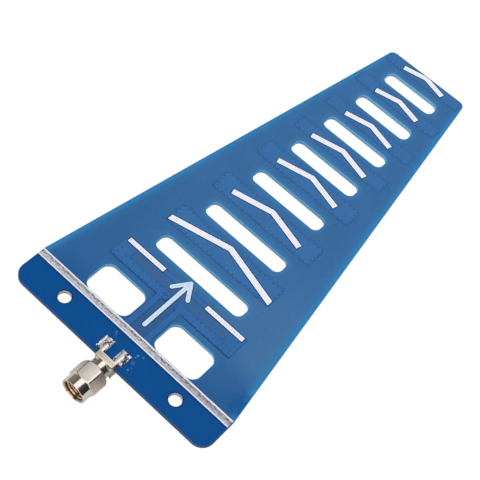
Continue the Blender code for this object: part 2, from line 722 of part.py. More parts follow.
def solder_mound(name, place, size, pad, side, cutter):
    """A dome on a tinned pad, on the upper (side 1) or lower (side -1) copper, round the lead that cutter
    stands for. place is the middle of the dome's base, and pad the tinned rectangle's left, right, near and
    far edges."""
    mesh = bpy.data.meshes.new(name)
    shape = bmesh.new()
    dome = Matrix.Translation(place) @ Matrix.Diagonal((*size, 1))
    bmesh.ops.create_uvsphere(shape, u_segments=SMALL_FACETS, v_segments=16, radius=1, matrix=dome)
    shape.to_mesh(mesh)
    shape.free()
    mesh.shade_smooth()
    mound = new_object(name, mesh, BOARD_FRAME, PARTS)
    left, right, near, far = pad
    base = place[2]
    film = sorted((base - side * size[2] / 4, base + side * TIN_THICKNESS))
    room = sorted((base, base + side * (size[2] + CUTTER_MARGIN)))
    tin = box(f"{name}_tin", (left, near, film[0]), (right, far, film[1]), BOARD_FRAME, CUTTERS)
    space = box(
        f"{name}_room",
        (left - CUTTER_MARGIN, near - CUTTER_MARGIN, room[0]),
        (right + CUTTER_MARGIN, far + CUTTER_MARGIN, room[1]),
        BOARD_FRAME,
        CUTTERS,
    )
    boolean(mound, "UNION", tin)
    boolean(mound, "INTERSECT", space)
    boolean(mound, "DIFFERENCE", cutter)
    paint(mound, TINNED)


def build_ground_solder():
    """Solder on the two top pads, up the sides of the upper legs and round their tips."""
    leg_middle = FLANGE_SIDE / 2 - LEG_WIDTH / 2
    reach = LEG_WIDTH / 2 + SOLDER_CLEARANCE
    for side, name in ((-1, "ground_solder_left"), (1, "ground_solder_right")):
        leg_x = PLUG_SHIFT + side * leg_middle
        pad = sorted((ARTWORK_SHIFT + side * PAD_INNER, ARTWORK_SHIFT + side * PAD_OUTER))
        leg = box(
            f"{name}_leg",
            (leg_x - reach, -CUTTER_MARGIN, COPPER_TOP + SOLDER_FILM - SOLDER_CLEARANCE),
            (leg_x + reach, -LEG_TIP + SOLDER_CLEARANCE, LEG_HEIGHT + CUTTER_MARGIN),
            BOARD_FRAME,
            CUTTERS,
        )
        middle = (leg_x + sum(pad) / 2) / 2
        place = (middle, PAD_NEAR + LEG_MOUND[1], COPPER_TOP)
        solder_mound(name, place, LEG_MOUND, (*pad, PAD_NEAR, PAD_FAR), 1, leg)


def build_pin_solder():
    """Solder that holds the contact's tail under the board, on the feed line."""
    tail = prism(
        "pin_tail",
        PIN_TAIL_DIAMETER / 2 + SOLDER_CLEARANCE,
        LEG_TIP - SOLDER_CLEARANCE,
        CUTTER_MARGIN,
        SMALL_FACETS,
        PLUG_AXIS,
        CUTTERS,
    )
    half_line = FEED_LINE_WIDTH / 2 - COPPER_PULLBACK
    pad = (ARTWORK_SHIFT - half_line, ARTWORK_SHIFT + half_line, PAD_NEAR, PAD_FAR)
    place = ((PLUG_SHIFT + ARTWORK_SHIFT) / 2, PAD_NEAR + PIN_MOUND[1], COPPER_UNDER)
    solder_mound("pin_solder", place, PIN_MOUND, pad, -1, tail)


clear_scene()
PARTS = new_collection("directional_antenna")
CUTTERS = new_collection("cutters")
SLOT_STARTS, DIRECTOR_STARTS, BOARD_LENGTH = stations()
PLUG_DROP = max(NUT_FLAT, FLANGE_SIDE / 2)
PLUG_REACH = max(NUT_FRONT, PIN_TIP)
BOARD_FRAME = new_empty("board_frame", None, (0, (PLUG_REACH - BOARD_LENGTH) / 2, PLUG_DROP - PLUG_HEIGHT))
PLUG_AXIS = new_empty("plug_axis", BOARD_FRAME, (PLUG_SHIFT, 0, PLUG_HEIGHT), (math.pi / 2, 0, 0))

build_board()
build_radiator_top()
build_radiator_under()
build_directors()
build_tinned_strip()
build_chevrons()
build_dipole_bars()
build_arrow()
build_plug_body()
build_dielectric()
build_centre_pin()
build_retaining_ring()
build_coupling_nut()
build_ground_solder()
build_pin_solder()
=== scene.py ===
import math

import bmesh
import bpy
from mathutils import Matrix, Vector, noise


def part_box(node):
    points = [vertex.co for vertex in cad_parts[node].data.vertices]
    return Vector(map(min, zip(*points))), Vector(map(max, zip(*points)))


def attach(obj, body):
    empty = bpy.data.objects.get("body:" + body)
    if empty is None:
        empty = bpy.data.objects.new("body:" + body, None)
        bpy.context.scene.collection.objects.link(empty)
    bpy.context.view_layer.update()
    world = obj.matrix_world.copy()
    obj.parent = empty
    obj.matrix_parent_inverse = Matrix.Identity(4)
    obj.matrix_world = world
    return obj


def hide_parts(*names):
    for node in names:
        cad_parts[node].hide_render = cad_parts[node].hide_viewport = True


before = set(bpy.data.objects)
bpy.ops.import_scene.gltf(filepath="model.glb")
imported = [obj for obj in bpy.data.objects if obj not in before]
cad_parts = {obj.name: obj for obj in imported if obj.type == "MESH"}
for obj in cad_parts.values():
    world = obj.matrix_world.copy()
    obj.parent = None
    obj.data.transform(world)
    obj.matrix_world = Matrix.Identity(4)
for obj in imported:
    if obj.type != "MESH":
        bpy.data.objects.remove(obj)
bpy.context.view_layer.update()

print("frame loaded,", len(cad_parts), "nodes")

# Shapes are drawn in millimetres: the board's near edge at y = 0 and its top face at z = 0
boardLow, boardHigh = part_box("circuit_board")
nutLow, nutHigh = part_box("coupling_nut")
boardOrigin = Vector((0, boardLow.y, boardHigh.z))
plugOrigin = Vector(((nutLow.x + nutHigh.x) / 2, boardLow.y, (nutLow.z + nutHigh.z) / 2))
boardPlace = Matrix.Translation(boardOrigin) @ Matrix.Scale(0.001, 4)
plugPlace = Matrix.Translation(plugOrigin) @ Matrix.Rotation(math.pi / 2, 4, "X") @ Matrix.Scale(0.001, 4)
upAxis = (0, 0, 1)

# Node helpers


def screenColour(red, green, blue):  # 0..255 as seen on a screen, to the linear values Blender works in
    parts = [part / 255 for part in (red, green, blue)]
    return (*[part / 12.92 if part < 0.04045 else ((part + 0.055) / 1.055) ** 2.4 for part in parts], 1)


def colours(**shades):
    return {name: screenColour(*parts) for name, parts in shades.items()}


def addNode(kind, inputs, tree=None, **settings):  # the tree is needed where no input comes from a node
    inputs = dict(inputs)
    sockets = [value for value in inputs.values() if isinstance(value, bpy.types.NodeSocket)]
    tree = tree or sockets[0].id_data
    node = tree.nodes.new("ShaderNode" + kind)
    for key, value in settings.items():
        setattr(node, key, value)
    for key, value in inputs.items():
        if value in sockets:
            tree.links.new(value, node.inputs[key])
        else:
            node.inputs[key].default_value = value
    return node


def calc(operation, *values):
    return addNode("Math", enumerate(values), operation=operation).outputs[0]


def vectorCalc(operation, *values):
    node = addNode("VectorMath", enumerate(values), operation=operation)
    return node.outputs["Value" if operation in ("LENGTH", "DOT_PRODUCT") else "Vector"]


def ramp(value, stops):
    node = addNode("ValToRGB", {"Fac": value})
    elements = node.color_ramp.elements
    for index, (position, shade) in enumerate(stops):
        element = elements[index] if index < 2 else elements.new(position)
        element.position = position
        element.color = shade if isinstance(shade, tuple) else (shade, shade, shade, 1)
    return node.outputs[0]


def mixColours(amount, first, second, blend="MIX"):
    values = {0: amount, 6: first, 7: second}
    return addNode("Mix", values, data_type="RGBA", blend_type=blend).outputs[2]


def speckle(place, scale, detail, roughness=0.5):
    values = {"Vector": place, "Scale": scale, "Detail": detail, "Roughness": roughness}
    return addNode("TexNoise", values).outputs[0]


def feed(shader, value, socket="Base Color"):
    shader.id_data.links.new(value, shader.inputs[socket])


def emboss(shader, height, strength, distance):
    values = {"Height": height, "Strength": strength, "Distance": distance}
    feed(shader, addNode("Bump", values).outputs[0], "Normal")


def measure(value, start, length):  # how far the value is past start, in lengths
    return calc("DIVIDE", calc("SUBTRACT", value, start), length)


def towards(tone, colour, value, stops):  # the tone turned to the colour, as far as the stops say
    return mixColours(ramp(value, stops), tone, colour)


def twoTone(value, dark, pale):
    return ramp(value, [(0.3, dark), (0.7, pale)])


def uneven(tone, place, scale, roughness, low, high):
    cloud = twoTone(speckle(place, scale, 3, roughness), low, high)
    return mixColours(1.0, tone, cloud, "MULTIPLY")


def newFinish(name, rough=0.5, specular=0.5, metal=0.0):  # place is in the board's millimetres
    finish = bpy.data.materials.new(name)
    finish.use_nodes = True
    tree = finish.node_tree
    shader = tree.nodes["Principled BSDF"]
    shader.inputs["Roughness"].default_value = rough
    shader.inputs["Specular IOR Level"].default_value = specular
    shader.inputs["Metallic"].default_value = metal
    metres = addNode("TexCoord", {}, tree).outputs["Object"]
    place = vectorCalc("MULTIPLY_ADD", metres, (1000, 1000, 1000), tuple(-1000 * boardOrigin))
    return finish, shader, place


def split(place):
    return addNode("SeparateXYZ", {0: place}).outputs


def distanceTo(flat, x, y):
    return vectorCalc("LENGTH", vectorCalc("SUBTRACT", flat, (x, y, 0)))


def rimOf(shader):  # 1 at the edge of a cut sheet, 0 within its ring
    return addNode("Attribute", {}, shader.id_data, attribute_name="rim").outputs["Fac"]


def makeSpeckledFinish(name, rough, specular, metal, scale, dark, pale):
    finish, shader, place = newFinish(name, rough, specular, metal)
    grain = speckle(place, scale, 3)
    feed(shader, twoTone(grain, screenColour(*dark), screenColour(*pale)))
    return finish


# Mesh helpers. Outlines are lists of corners: x, y and the radius to which each is rounded


def roundedLoop(shape, corners, height, steps):
    verts = [shape.verts.new((x, y, height)) for x, y, radius in corners]
    shape.faces.new(verts)
    for index, (x, y, radius) in enumerate(corners):
        if radius:
            corner = Vector((x, y))
            back = Vector(corners[index - 1][:2]) - corner
            ahead = Vector(corners[(index + 1) % len(corners)][:2]) - corner
            reach = radius / math.tan(back.angle(ahead) / 2)
            bmesh.ops.bevel(
                shape, geom=[verts[index]], offset=reach, offset_type="OFFSET", segments=steps,
                profile=0.5, affect="VERTICES", material=-1,
            )


def box4(left, right, near, far, radius=0, farRadius=None):
    farRadius = radius if farRadius is None else farRadius
    return [(left, near, radius), (right, near, radius), (right, far, farRadius), (left, far, farRadius)]


def roundHole(x, y, radius):
    return box4(x - radius, x + radius, y - radius, y + radius, radius)


def growLoop(corners, reach):  # an outline that runs anticlockwise, moved outwards
    grown = []
    for index, (x, y, radius) in enumerate(corners):
        corner = Vector((x, y))
        back = (corner - Vector(corners[index - 1][:2])).normalized()
        ahead = (Vector(corners[(index + 1) % len(corners)][:2]) - corner).normalized()
        step = reach / (1 + back.dot(ahead))
        place = (x + (back.y + ahead.y) * step, y - (back.x + ahead.x) * step)
        grown.append((*place, radius + reach if radius else 0))
    return grown


def unitGrid(columns, rows):  # one unit wide and deep, about the origin
    shape = bmesh.new()
    bmesh.ops.create_grid(shape, x_segments=columns, y_segments=rows, size=0.5)
    return shape


def turnOutwards(shape):
    bmesh.ops.recalc_face_normals(shape, faces=shape.faces[:])


def cutSheet(loops, top, thickness, ring, rim, steps):  # rim is how far its upper and lower edges are rounded
    shape = bmesh.new()
    for loop in loops:
        roundedLoop(shape, loop, top, steps)
    bmesh.ops.remove_doubles(shape, verts=shape.verts[:], dist=0.0001)
    bmesh.ops.delete(shape, geom=shape.faces[:], context="FACES_ONLY")
    bmesh.ops.triangle_fill(shape, edges=shape.edges[:], use_beauty=True, use_dissolve=False, normal=upAxis)
    edgeMark = shape.verts.layers.float.new("rim")
    bmesh.ops.inset_region(
        shape, faces=shape.faces[:], thickness=ring, use_boundary=True, use_even_offset=True,
        use_interpolate=False,
    )
    for edge in shape.edges:
        if edge.is_boundary:
            for vert in edge.verts:
                vert[edgeMark] = 1
    extruded = bmesh.ops.extrude_face_region(shape, geom=shape.faces[:])["geom"]
    lower = [item for item in extruded if isinstance(item, bmesh.types.BMVert)]
    bmesh.ops.translate(shape, verts=lower, vec=(0, 0, -thickness))
    turnOutwards(shape)
    if rim:
        shape.normal_update()
        sharp = [edge for edge in shape.edges
                 if edge.calc_face_angle(0) > 1 and abs(edge.verts[0].co.z - edge.verts[1].co.z) < 1e-6]
        bmesh.ops.bevel(shape, geom=sharp, offset=rim, segments=2, profile=0.5, affect="EDGES", material=-1)
    return shape


def lathe(shape, profile, steps):  # turns a closed outline, given as radius and height, once round
    verts = [shape.verts.new((radius, 0, height)) for radius, height in profile]
    edges = [shape.edges.new(pair) for pair in zip(verts, verts[1:] + verts[:1])]
    bmesh.ops.spin(
        shape, geom=verts + edges, cent=(0, 0, 0), axis=upAxis, angle=math.tau, steps=steps, use_merge=True,
        use_duplicate=False,
    )


def meshFrom(shape, name, finishes=()):
    mesh = bpy.data.meshes.new(name)
    shape.to_mesh(mesh)
    shape.free()
    for finish in finishes:
        mesh.materials.append(finish)
    return mesh


def addObject(name, data):
    item = bpy.data.objects.new(name, data)
    bpy.context.scene.collection.objects.link(item)
    return item


def finishPiece(shape, name, place, finishes, body, sharpAngle):
    bmesh.ops.transform(shape, matrix=place, verts=shape.verts[:])
    mesh = meshFrom(shape, name, finishes)
    mesh.shade_smooth()
    mesh.set_sharp_from_angle(angle=math.radians(sharpAngle))
    piece = addObject(name, mesh)
    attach(piece, body)
    return piece


def dress(nodeName, finish):  # a CAD node that stays, with a better material
    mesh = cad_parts[nodeName].data
    mesh.materials.clear()
    mesh.materials.append(finish)


# Laminate

laminate = {
    "width": 75.0, "farHalf": 16.35, "length": 162.0, "thickness": 1.6, "taperStart": 13.1,
    "nearRadius": 4.3, "kinkRadius": 6.0, "farRadius": 2.3,
    "notch": (3.7, 1.3), "holes": (21.8, 5.6, 2.0),
    "window": (5.3, 21.9, 12.7, 23.6, 3.0),
    "slotMiddles": (40.4, 60.7, 81.6, 100.6, 117.5, 134.0, 150.5),
    "slotHalves": (17.3, 15.4, 13.9, 13.2, 12.5, 11.3, 10.6),
    "slotWidth": 6.1, "slotRadius": 2.3,
    "edgeRing": 0.3, "edgeRound": 0.09,
    "gapRadius": 0.9, "tinShade": 12.5, "rootShade": (14, 20), "sideReach": 30, "glowReach": 8.0,
    "openingGlow": (  # painted glow of light through the laminate: places between an opening's edge and glowReach, and the colour at each
        (0.0, (60, 120, 173)), (0.08, (59, 119, 173)), (0.125, (59, 115, 168)), (0.2, (59, 111, 162)),
        (0.3, (59, 108, 159)), (0.7, (58, 108, 161)),
    ),
    "patch": (35.5, 17.2), "patchScale": (0.13, 0.11),  # the shaded corner beside the strip's right end
    "weave": 9.5, "weaveDepth": 0.02, "coveredFar": 12.4,
    **colours(
        nearRoot=(37, 91, 148), rightSide=(74, 122, 168), leftSide=(46, 98, 150),
        loopSlot=(63, 100, 148), stemGap=(54, 93, 143), edgeGlow=(52, 127, 184), shadedPatch=(24, 88, 149),
        besideTin=(48, 82, 134), besideHole=(10, 44, 108), besideCopper=(39, 78, 137),
        wallDark=(112, 178, 224), wallPale=(140, 200, 234), coveredDark=(32, 74, 124),
        coveredPale=(76, 106, 142), wallFoot=(156, 172, 166), platingDull=(206, 202, 212),
        platingPale=(244, 240, 248), platingFoot=(116, 106, 98),
    ),
}


def distanceToRounded(place, centre, half, radius):
    offset = vectorCalc("ABSOLUTE", vectorCalc("SUBTRACT", place, (*centre, 0)))
    corner = vectorCalc("SUBTRACT", offset, (half[0] - radius, half[1] - radius, 0))
    outside = vectorCalc("MAXIMUM", corner, (0, 0, 0))
    return calc("SUBTRACT", vectorCalc("LENGTH", outside), radius)


def distanceToOpenings(flat, mirrored):  # from the nearest slot or window
    size = laminate
    left, right, near, far, radius = size["window"]
    half = ((right - left) / 2, (far - near) / 2)
    nearest = distanceToRounded(mirrored, ((left + right) / 2, (near + far) / 2), half, radius)
    for place, reach in zip(size["slotMiddles"], size["slotHalves"]):
        slot = distanceToRounded(flat, (0, place), (reach, size["slotWidth"] / 2), size["slotRadius"])
        nearest = calc("MINIMUM", nearest, slot)
    return nearest


def distanceToHoles(mirrored):
    x, y, radius = laminate["holes"]
    return calc("SUBTRACT", distanceTo(mirrored, x, y), radius)


def directorRows():
    return zip(directors["near"], directors["far"], directors["halfSpans"])


def distanceToDirectors(flat):
    nearest = None
    for near, far, half in directorRows():
        middle = (copper["shift"], (near + far) / 2)
        rectangle = distanceToRounded(flat, middle, (half, (far - near) / 2), directors["haloRadius"])
        nearest = calc("MINIMUM", nearest, rectangle) if nearest else rectangle
    return nearest


def directorHalo(flat, y):  # painted shade: the soft, ragged dark band along the edges of the directors
    away = calc("ABSOLUTE", distanceToDirectors(flat))
    ragged = calc("MULTIPLY_ADD", speckle(flat, 1.7, 3, 0.7), 2.0, away)
    fading = ramp(calc("DIVIDE", y, laminate["length"]), [(0.25, 1.0), (0.5, 0.85), (0.75, 0.55)])
    return calc("MULTIPLY", ramp(ragged, [(0.85, 1.0), (1.15, 0.6), (1.8, 0.0)]), fading)


def distanceToOutline(flat, mirrored):  # from the tapering sides and the far edge
    size = laminate
    side = Vector((size["length"] - size["taperStart"], size["width"] / 2 - size["farHalf"], 0)).normalized()
    reach = side.x * size["width"] / 2 + side.y * size["taperStart"]
    toSide = calc("SUBTRACT", reach, vectorCalc("DOT_PRODUCT", mirrored, tuple(side)))
    toFar = calc("SUBTRACT", size["length"], split(flat)[1])
    return calc("MINIMUM", toSide, toFar)


def makeLaminateFinish():
    finish, shader, place = newFinish("maskedLaminate", 0.4, 0.05)
    size = laminate
    flat = vectorCalc("MULTIPLY", place, (1, 1, 0))
    mirrored = vectorCalc("ABSOLUTE", flat)
    x, y = split(place)[:2]
    fromOpening = calc("DIVIDE", distanceToOpenings(flat, mirrored), size["glowReach"])
    shade = ramp(fromOpening, [(stop, screenColour(*parts)) for stop, parts in size["openingGlow"]])
    shade = towards(shade, size["nearRoot"], measure(y, *size["rootShade"]), [(0, 0.85), (1, 0.0)])
    # painted light and shade: lighter towards the right side and darker towards the left, between about 22
    # and 80 mm along
    beside = ramp(calc("DIVIDE", y, 100), [
        (0.22, 0.0), (0.29, 0.6), (0.45, 0.6), (0.62, 0.15), (0.8, 0.0),
    ])
    for side, colour in ((1, "rightSide"), (-1, "leftSide")):
        outwards = ramp(calc("DIVIDE", x, side * size["sideReach"]), [(0.2, 0.0), (1, 1.0)])
        shade = mixColours(calc("MULTIPLY", outwards, beside), shade, size[colour])
    # painted glow along the tapering sides and the far edge, as light coming through the laminate
    fromOutline = calc("DIVIDE", distanceToOutline(flat, mirrored), size["glowReach"])
    shade = towards(shade, size["edgeGlow"], fromOutline, [
        (0.0, 1.0), (0.07, 1.0), (0.12, 0.85), (0.2, 0.44), (0.3, 0.16), (0.45, 0.03), (0.6, 0.0),
    ])
    fromPatch = vectorCalc("SUBTRACT", flat, (*size["patch"], 0))
    fromPatch = vectorCalc("LENGTH", vectorCalc("MULTIPLY", fromPatch, (*size["patchScale"], 0)))
    ragged = calc("MULTIPLY_ADD", speckle(place, 0.5, 3), 0.8, fromPatch)
    shade = towards(shade, size["shadedPatch"], ragged, [(0.6, 0.9), (1.3, 0.0)])
    shade = uneven(shade, place, 0.09, 0.5, 0.96, 1.05)
    waves = [calc("SINE", calc("MULTIPLY", axis, size["weave"])) for axis in (x, y)]
    mottle = twoTone(speckle(place, 0.8, 3, 0.6), 0.965, 1.035)
    grain = calc("MULTIPLY_ADD", calc("MULTIPLY", *waves), size["weaveDepth"], mottle)
    grain = addNode("CombineColor", {0: grain, 1: grain, 2: grain}).outputs[0]
    shade = mixColours(1.0, shade, grain, "MULTIPLY")
    shade = mixColours(directorHalo(flat, y), shade, size["besideCopper"])
    blotches = ramp(speckle(place, 0.45, 3, 0.6), [(0.38, 0.45), (0.62, 1.0)])
    slotHalf, slotNear, slotFar = radiator["slot"]
    inLoop = (slotHalf, slotNear, slotFar, "loopSlot")
    inGap = (radiator["gapHalf"], copper["reflectorFar"], slotNear, "stemGap")
    for half, near, far, colour in (inLoop, inGap):
        middle, halves = (copper["shift"], (near + far) / 2), (half, (far - near) / 2)
        inside = calc("MULTIPLY", distanceToRounded(flat, middle, halves, size["gapRadius"]), -1)
        soft = ramp(inside, [(0.0, 0.0), (0.12, 0.55), (0.8, 1.0)])
        shade = mixColours(calc("MULTIPLY", soft, blotches), shade, size[colour])
    pastStrip = calc("SUBTRACT", y, size["tinShade"])
    shade = towards(shade, size["besideTin"], pastStrip, [(0.0, 0.8), (0.2, 0.75), (0.6, 0.0)])
    fromHole = distanceToHoles(mirrored)
    feed(shader, towards(shade, size["besideHole"], fromHole, [(0.22, 1.0), (0.4, 0.0)]))
    emboss(shader, speckle(place, 1.7, 3), 0.08, 0.00002)
    return finish


def makeRoutedFinish():  # the cut edge: painted pale, as light from inside the laminate, but painted dark where copper covers both faces and keeps that light out
    finish, shader, place = newFinish("routedGlassEpoxy", 0.6, 0.2)
    y, z = split(place)[1:]
    fibre = speckle(vectorCalc("MULTIPLY", place, (0.5, 0.5, 7)), 1.3, 4, 0.65)
    bare = twoTone(fibre, laminate["wallDark"], laminate["wallPale"])
    foot = ramp(calc("DIVIDE", z, -laminate["thickness"]), [(0.8, 0.0), (0.93, 0.75)])
    bare = mixColours(foot, bare, laminate["wallFoot"])
    patches = ramp(speckle(place, 0.35, 3, 0.6), [(0.4, 0.0), (0.62, 1.0)])
    covered = mixColours(fibre, laminate["coveredDark"], laminate["coveredPale"])
    covered = mixColours(calc("MULTIPLY", patches, foot), covered, laminate["wallPale"])
    beyond = calc("GREATER_THAN", y, laminate["coveredFar"])
    feed(shader, mixColours(beyond, covered, bare))
    emboss(shader, fibre, 0.4, 0.00004)
    return finish


def makePlatedHoleFinish():
    finish, shader, place = newFinish("platedHole", 0.45, metal=0.4)
    pale = twoTone(speckle(place, 1.8, 3), laminate["platingDull"], laminate["platingPale"])
    # painted shade: darker towards the bottom of the hole
    depth = calc("DIVIDE", split(place)[2], -laminate["thickness"])
    feed(shader, towards(pale, laminate["platingFoot"], depth, [(0.72, 0.0), (0.84, 0.85)]))
    return finish


def makeLaminate(faceFinish, wallFinish, holeFinish):
    size = laminate
    half, far, notchHalf, notchDepth = size["width"] / 2, size["farHalf"], *size["notch"]
    outline = [
        (-half, 0, size["nearRadius"]), (-notchHalf, 0, 0), (-notchHalf, notchDepth, 0),
        (notchHalf, notchDepth, 0), (notchHalf, 0, 0), (half, 0, size["nearRadius"]),
        (half, size["taperStart"], size["kinkRadius"]), (far, size["length"], size["farRadius"]),
        (-far, size["length"], size["farRadius"]), (-half, size["taperStart"], size["kinkRadius"]),
    ]
    left, right, nearY, farY, radius = size["window"]
    loops = [outline, box4(left, right, nearY, farY, radius), box4(-right, -left, nearY, farY, radius)]
    for middle, reach in zip(size["slotMiddles"], size["slotHalves"]):
        width = size["slotWidth"] / 2
        loops.append(box4(-reach, reach, middle - width, middle + width, size["slotRadius"]))
    holeX, holeY, holeRadius = size["holes"]
    loops += [roundHole(-holeX, holeY, holeRadius), roundHole(holeX, holeY, holeRadius)]
    shape = cutSheet(loops, 0, size["thickness"], size["edgeRing"], size["edgeRound"], 10)
    shape.normal_update()
    for face in shape.faces:
        spot = face.calc_center_median()
        fromHole = math.hypot(abs(spot.x) - holeX, spot.y - holeY)
        upright = abs(face.normal.z) < 0.5
        face.material_index = (2 if fromHole < holeRadius + 0.1 else 1) if upright else 0
    finishes = [faceFinish, wallFinish, holeFinish]
    piece = finishPiece(shape, "laminate", boardPlace, finishes, "board", 30)
    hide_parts("circuit_board")
    print("laminate:", len(piece.data.polygons), "faces")


# Copper under the mask

copper = {
    "thickness": 0.07, "shift": -0.15, "ring": 0.36, "round": 0.025, "reflectorFar": 12.6,
    "stemShade": (14, 30), "tinShade": 9, "residueSize": 1.6, "residueRagged": 0.5,
    "residueSpots": (  # x, y, radius and strength of the pale flux marks beside the plug
        (-3.9, 8.6, 0.45, 0.4), (-3.6, 8.1, 0.4, 0.4), (-3.2, 7.4, 0.5, 0.15), (5.6, 7.6, 0.5, 0.55),
        (5.3, 7.4, 0.35, 0.5), (5.4, 6.7, 0.32, 0.6), (7.0, 8.2, 0.6, 0.25), (6.5, 2.45, 0.4, 0.75),
        (7.0, 3.5, 0.4, 0.25), (6.1, 4.9, 0.9, 0.22), (6.9, 1.6, 0.4, 0.15),
    ),
    **colours(
        # outline is painted shade: a dark line at the copper's step
        reflector=(6, 77, 143), elements=(59, 111, 168), stems=(51, 103, 164), outline=(20, 60, 120),
        halo=(34, 79, 139), besideTin=(14, 58, 118), residue=(120, 170, 225),
    ),
}
radiator = {
    "half": 37.3, "near": 0.2, "corner": 4.1, "notch": (3.9, 1.5), "holeRadius": 2.2, "ring": 0.46,
    "stemHalf": 4.9, "gapHalf": 2.5, "loop": (24.0, 25.6, 34.2, 0.5),  # half length, near, far, corner radius
    "slot": (18.5, 29.0, 32.2), "armEnds": (-1.2, 2.1),
}
directors = {
    "halfSpans": (20.8, 20.2, 19.3, 18.5, 18.0, 17.4, 16.0),
    "near": (46.8, 67.0, 88.0, 106.5, 123.0, 139.8, 156.7),
    "far": (54.9, 75.2, 95.5, 112.3, 128.7, 145.6, 161.8),
    "cornerRadius": 0.4, "lastRadius": 2.0, "haloRadius": 0.9,
}


def makeCopperFinish():
    finish, shader, place = newFinish("maskedCopper", 0.36, 0.05)
    flat = vectorCalc("MULTIPLY", place, (1, 1, 0))
    y = split(place)[1]
    beyond = calc("GREATER_THAN", y, copper["reflectorFar"])
    upStems = measure(y, *copper["stemShade"])
    elements = towards(copper["stems"], copper["elements"], upStems, [(0, 0.0), (1, 1.0)])
    base = mixColours(beyond, copper["reflector"], elements)
    # painted shade: a dark line along the directors' copper edges, as shadow at the copper's step
    line = ramp(rimOf(shader), [(0.05, 0.0), (0.5, 1.0)])
    strength = ramp(calc("DIVIDE", y, laminate["length"]), [
        (0.15, 0.5), (0.156, 1.0), (0.161, 1.0), (0.168, 0.35), (0.29, 0.25), (0.6, 0.15),
    ])
    dots = ramp(speckle(flat, 0.85, 3, 0.75), [(0.4, 0.45), (0.58, 1.0)])
    line = calc("MULTIPLY", line, calc("MULTIPLY", strength, dots))
    base = mixColours(calc("MULTIPLY", line, beyond), base, copper["outline"])
    base = mixColours(directorHalo(flat, y), base, copper["halo"])
    base = towards(base, copper["besideTin"], calc("SUBTRACT", y, copper["tinShade"]), [
        (0.1, 0.0), (0.4, 0.75), (0.9, 0.85), (0.95, 0.0),
    ])
    fromHole = distanceToHoles(vectorCalc("ABSOLUTE", flat))
    base = towards(base, laminate["besideHole"], fromHole, [(0.2, 1.0), (0.5, 0.0)])
    ragged = calc("MULTIPLY", speckle(flat, 1.6, 3, 0.6), copper["residueRagged"])
    for x, spotY, radius, amount in copper["residueSpots"]:
        away = calc("DIVIDE", distanceTo(flat, x, spotY), radius * copper["residueSize"])
        away = calc("ADD", away, ragged)
        base = towards(base, copper["residue"], away, [(0.3, amount), (0.85, 0.0)])
    base = uneven(base, place, 0.12, 0.5, 0.95, 1.05)
    feed(shader, uneven(base, place, 0.9, 0.6, 0.96, 1.04))
    emboss(shader, speckle(place, 1.1, 3), 0.1, 0.00002)
    return finish


def makeRadiator(finish):
    size = radiator
    edge, near, far, corner = size["half"], size["near"], copper["reflectorFar"], size["corner"]
    notch, notchFar = size["notch"]
    stem, gap, shift = size["stemHalf"], size["gapHalf"], copper["shift"]
    half, loopNear, loopFar, loopCorner = size["loop"]
    slotHalf, slotNear, slotFar = size["slot"]
    leftEnd, rightEnd = size["armEnds"]
    outline = [
        (-edge, near, corner), (-notch, near, 0), (-notch, notchFar, 0), (notch, notchFar, 0),
        (notch, near, 0), (edge, near, corner), (edge, far, 0), (shift + stem, far, 0),
        (shift + stem, loopNear, 0), (shift + half, loopNear, loopCorner),
        (shift + half, loopFar, loopCorner), (shift - half, loopFar, loopCorner),
        (shift - half, loopNear, loopCorner), (shift - stem, loopNear, 0), (shift - stem, far, 0),
        (-edge, far, 0),
    ]
    feedGap = [
        (-gap, far), (gap, far), (gap, loopNear), (rightEnd, loopNear), (rightEnd, slotNear),
        (slotHalf, slotNear), (slotHalf, slotFar), (-slotHalf, slotFar), (-slotHalf, slotNear),
        (leftEnd, slotNear), (leftEnd, loopNear), (-gap, loopNear),
    ]
    holeX, holeY = laminate["holes"][:2]
    loops = [outline, [(shift + x, y, 0) for x, y in feedGap]]
    loops += [roundHole(side * holeX, holeY, size["holeRadius"]) for side in (-1, 1)]
    shape = cutSheet(loops, copper["thickness"], copper["thickness"], size["ring"], copper["round"], 8)
    piece = finishPiece(shape, "radiator", boardPlace, [finish], "board", 30)
    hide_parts("radiator_copper_top")
    print("radiator:", len(piece.data.polygons), "faces")


def makeDirectors(finish):
    for index, (near, far, half) in enumerate(directorRows(), 1):
        last = index == len(directors["near"])
        farRadius = directors["lastRadius"] if last else directors["cornerRadius"]
        left, right = copper["shift"] - half, copper["shift"] + half
        loop = box4(left, right, near, far, directors["cornerRadius"], farRadius)
        shape = cutSheet([loop], copper["thickness"], copper["thickness"], copper["ring"], copper["round"], 5)
        piece = finishPiece(shape, f"director_{index}", boardPlace, [finish], "board", 30)
        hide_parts(f"director_{index}_top")
        dress(f"director_{index}_under", finish)
    dress("radiator_copper_under", finish)
    print("directors:", len(directors["near"]))


# Vias

vias = {
    "spacing": 1.75, "inset": 0.6, "radius": 0.24, "topShare": 0.72, "rimShare": 0.2,
    "height": 0.03, "lift": 0.012,
    "armRows": (  # x and y at both ends, and the spacing, of the rows on one side of the loop
        (5.6, 28.3, 19.6, 28.3, 1.75), (5.6, 26.1, 22.4, 26.1, 1.75), (22.5, 27.8, 22.5, 33.4, 1.9),
    ),
    "cross": (-2.9, 27.5, 0.6),  # x, y and arm of the small cross of five
    **colours(dark=(18, 56, 116), pale=(38, 84, 146), faint=(40, 86, 146)),
}


def makeViaFinish():
    finish, shader, place = newFinish("tentedVia", 0.35, 0.1)
    tone = ramp(speckle(place, 0.6, 2), [(0.38, vias["dark"]), (0.6, vias["pale"])])
    along = calc("DIVIDE", split(place)[1], laminate["length"])
    feed(shader, towards(tone, vias["faint"], along, [(0.21, 0.0), (0.3, 0.35), (0.8, 0.75)]))
    return finish


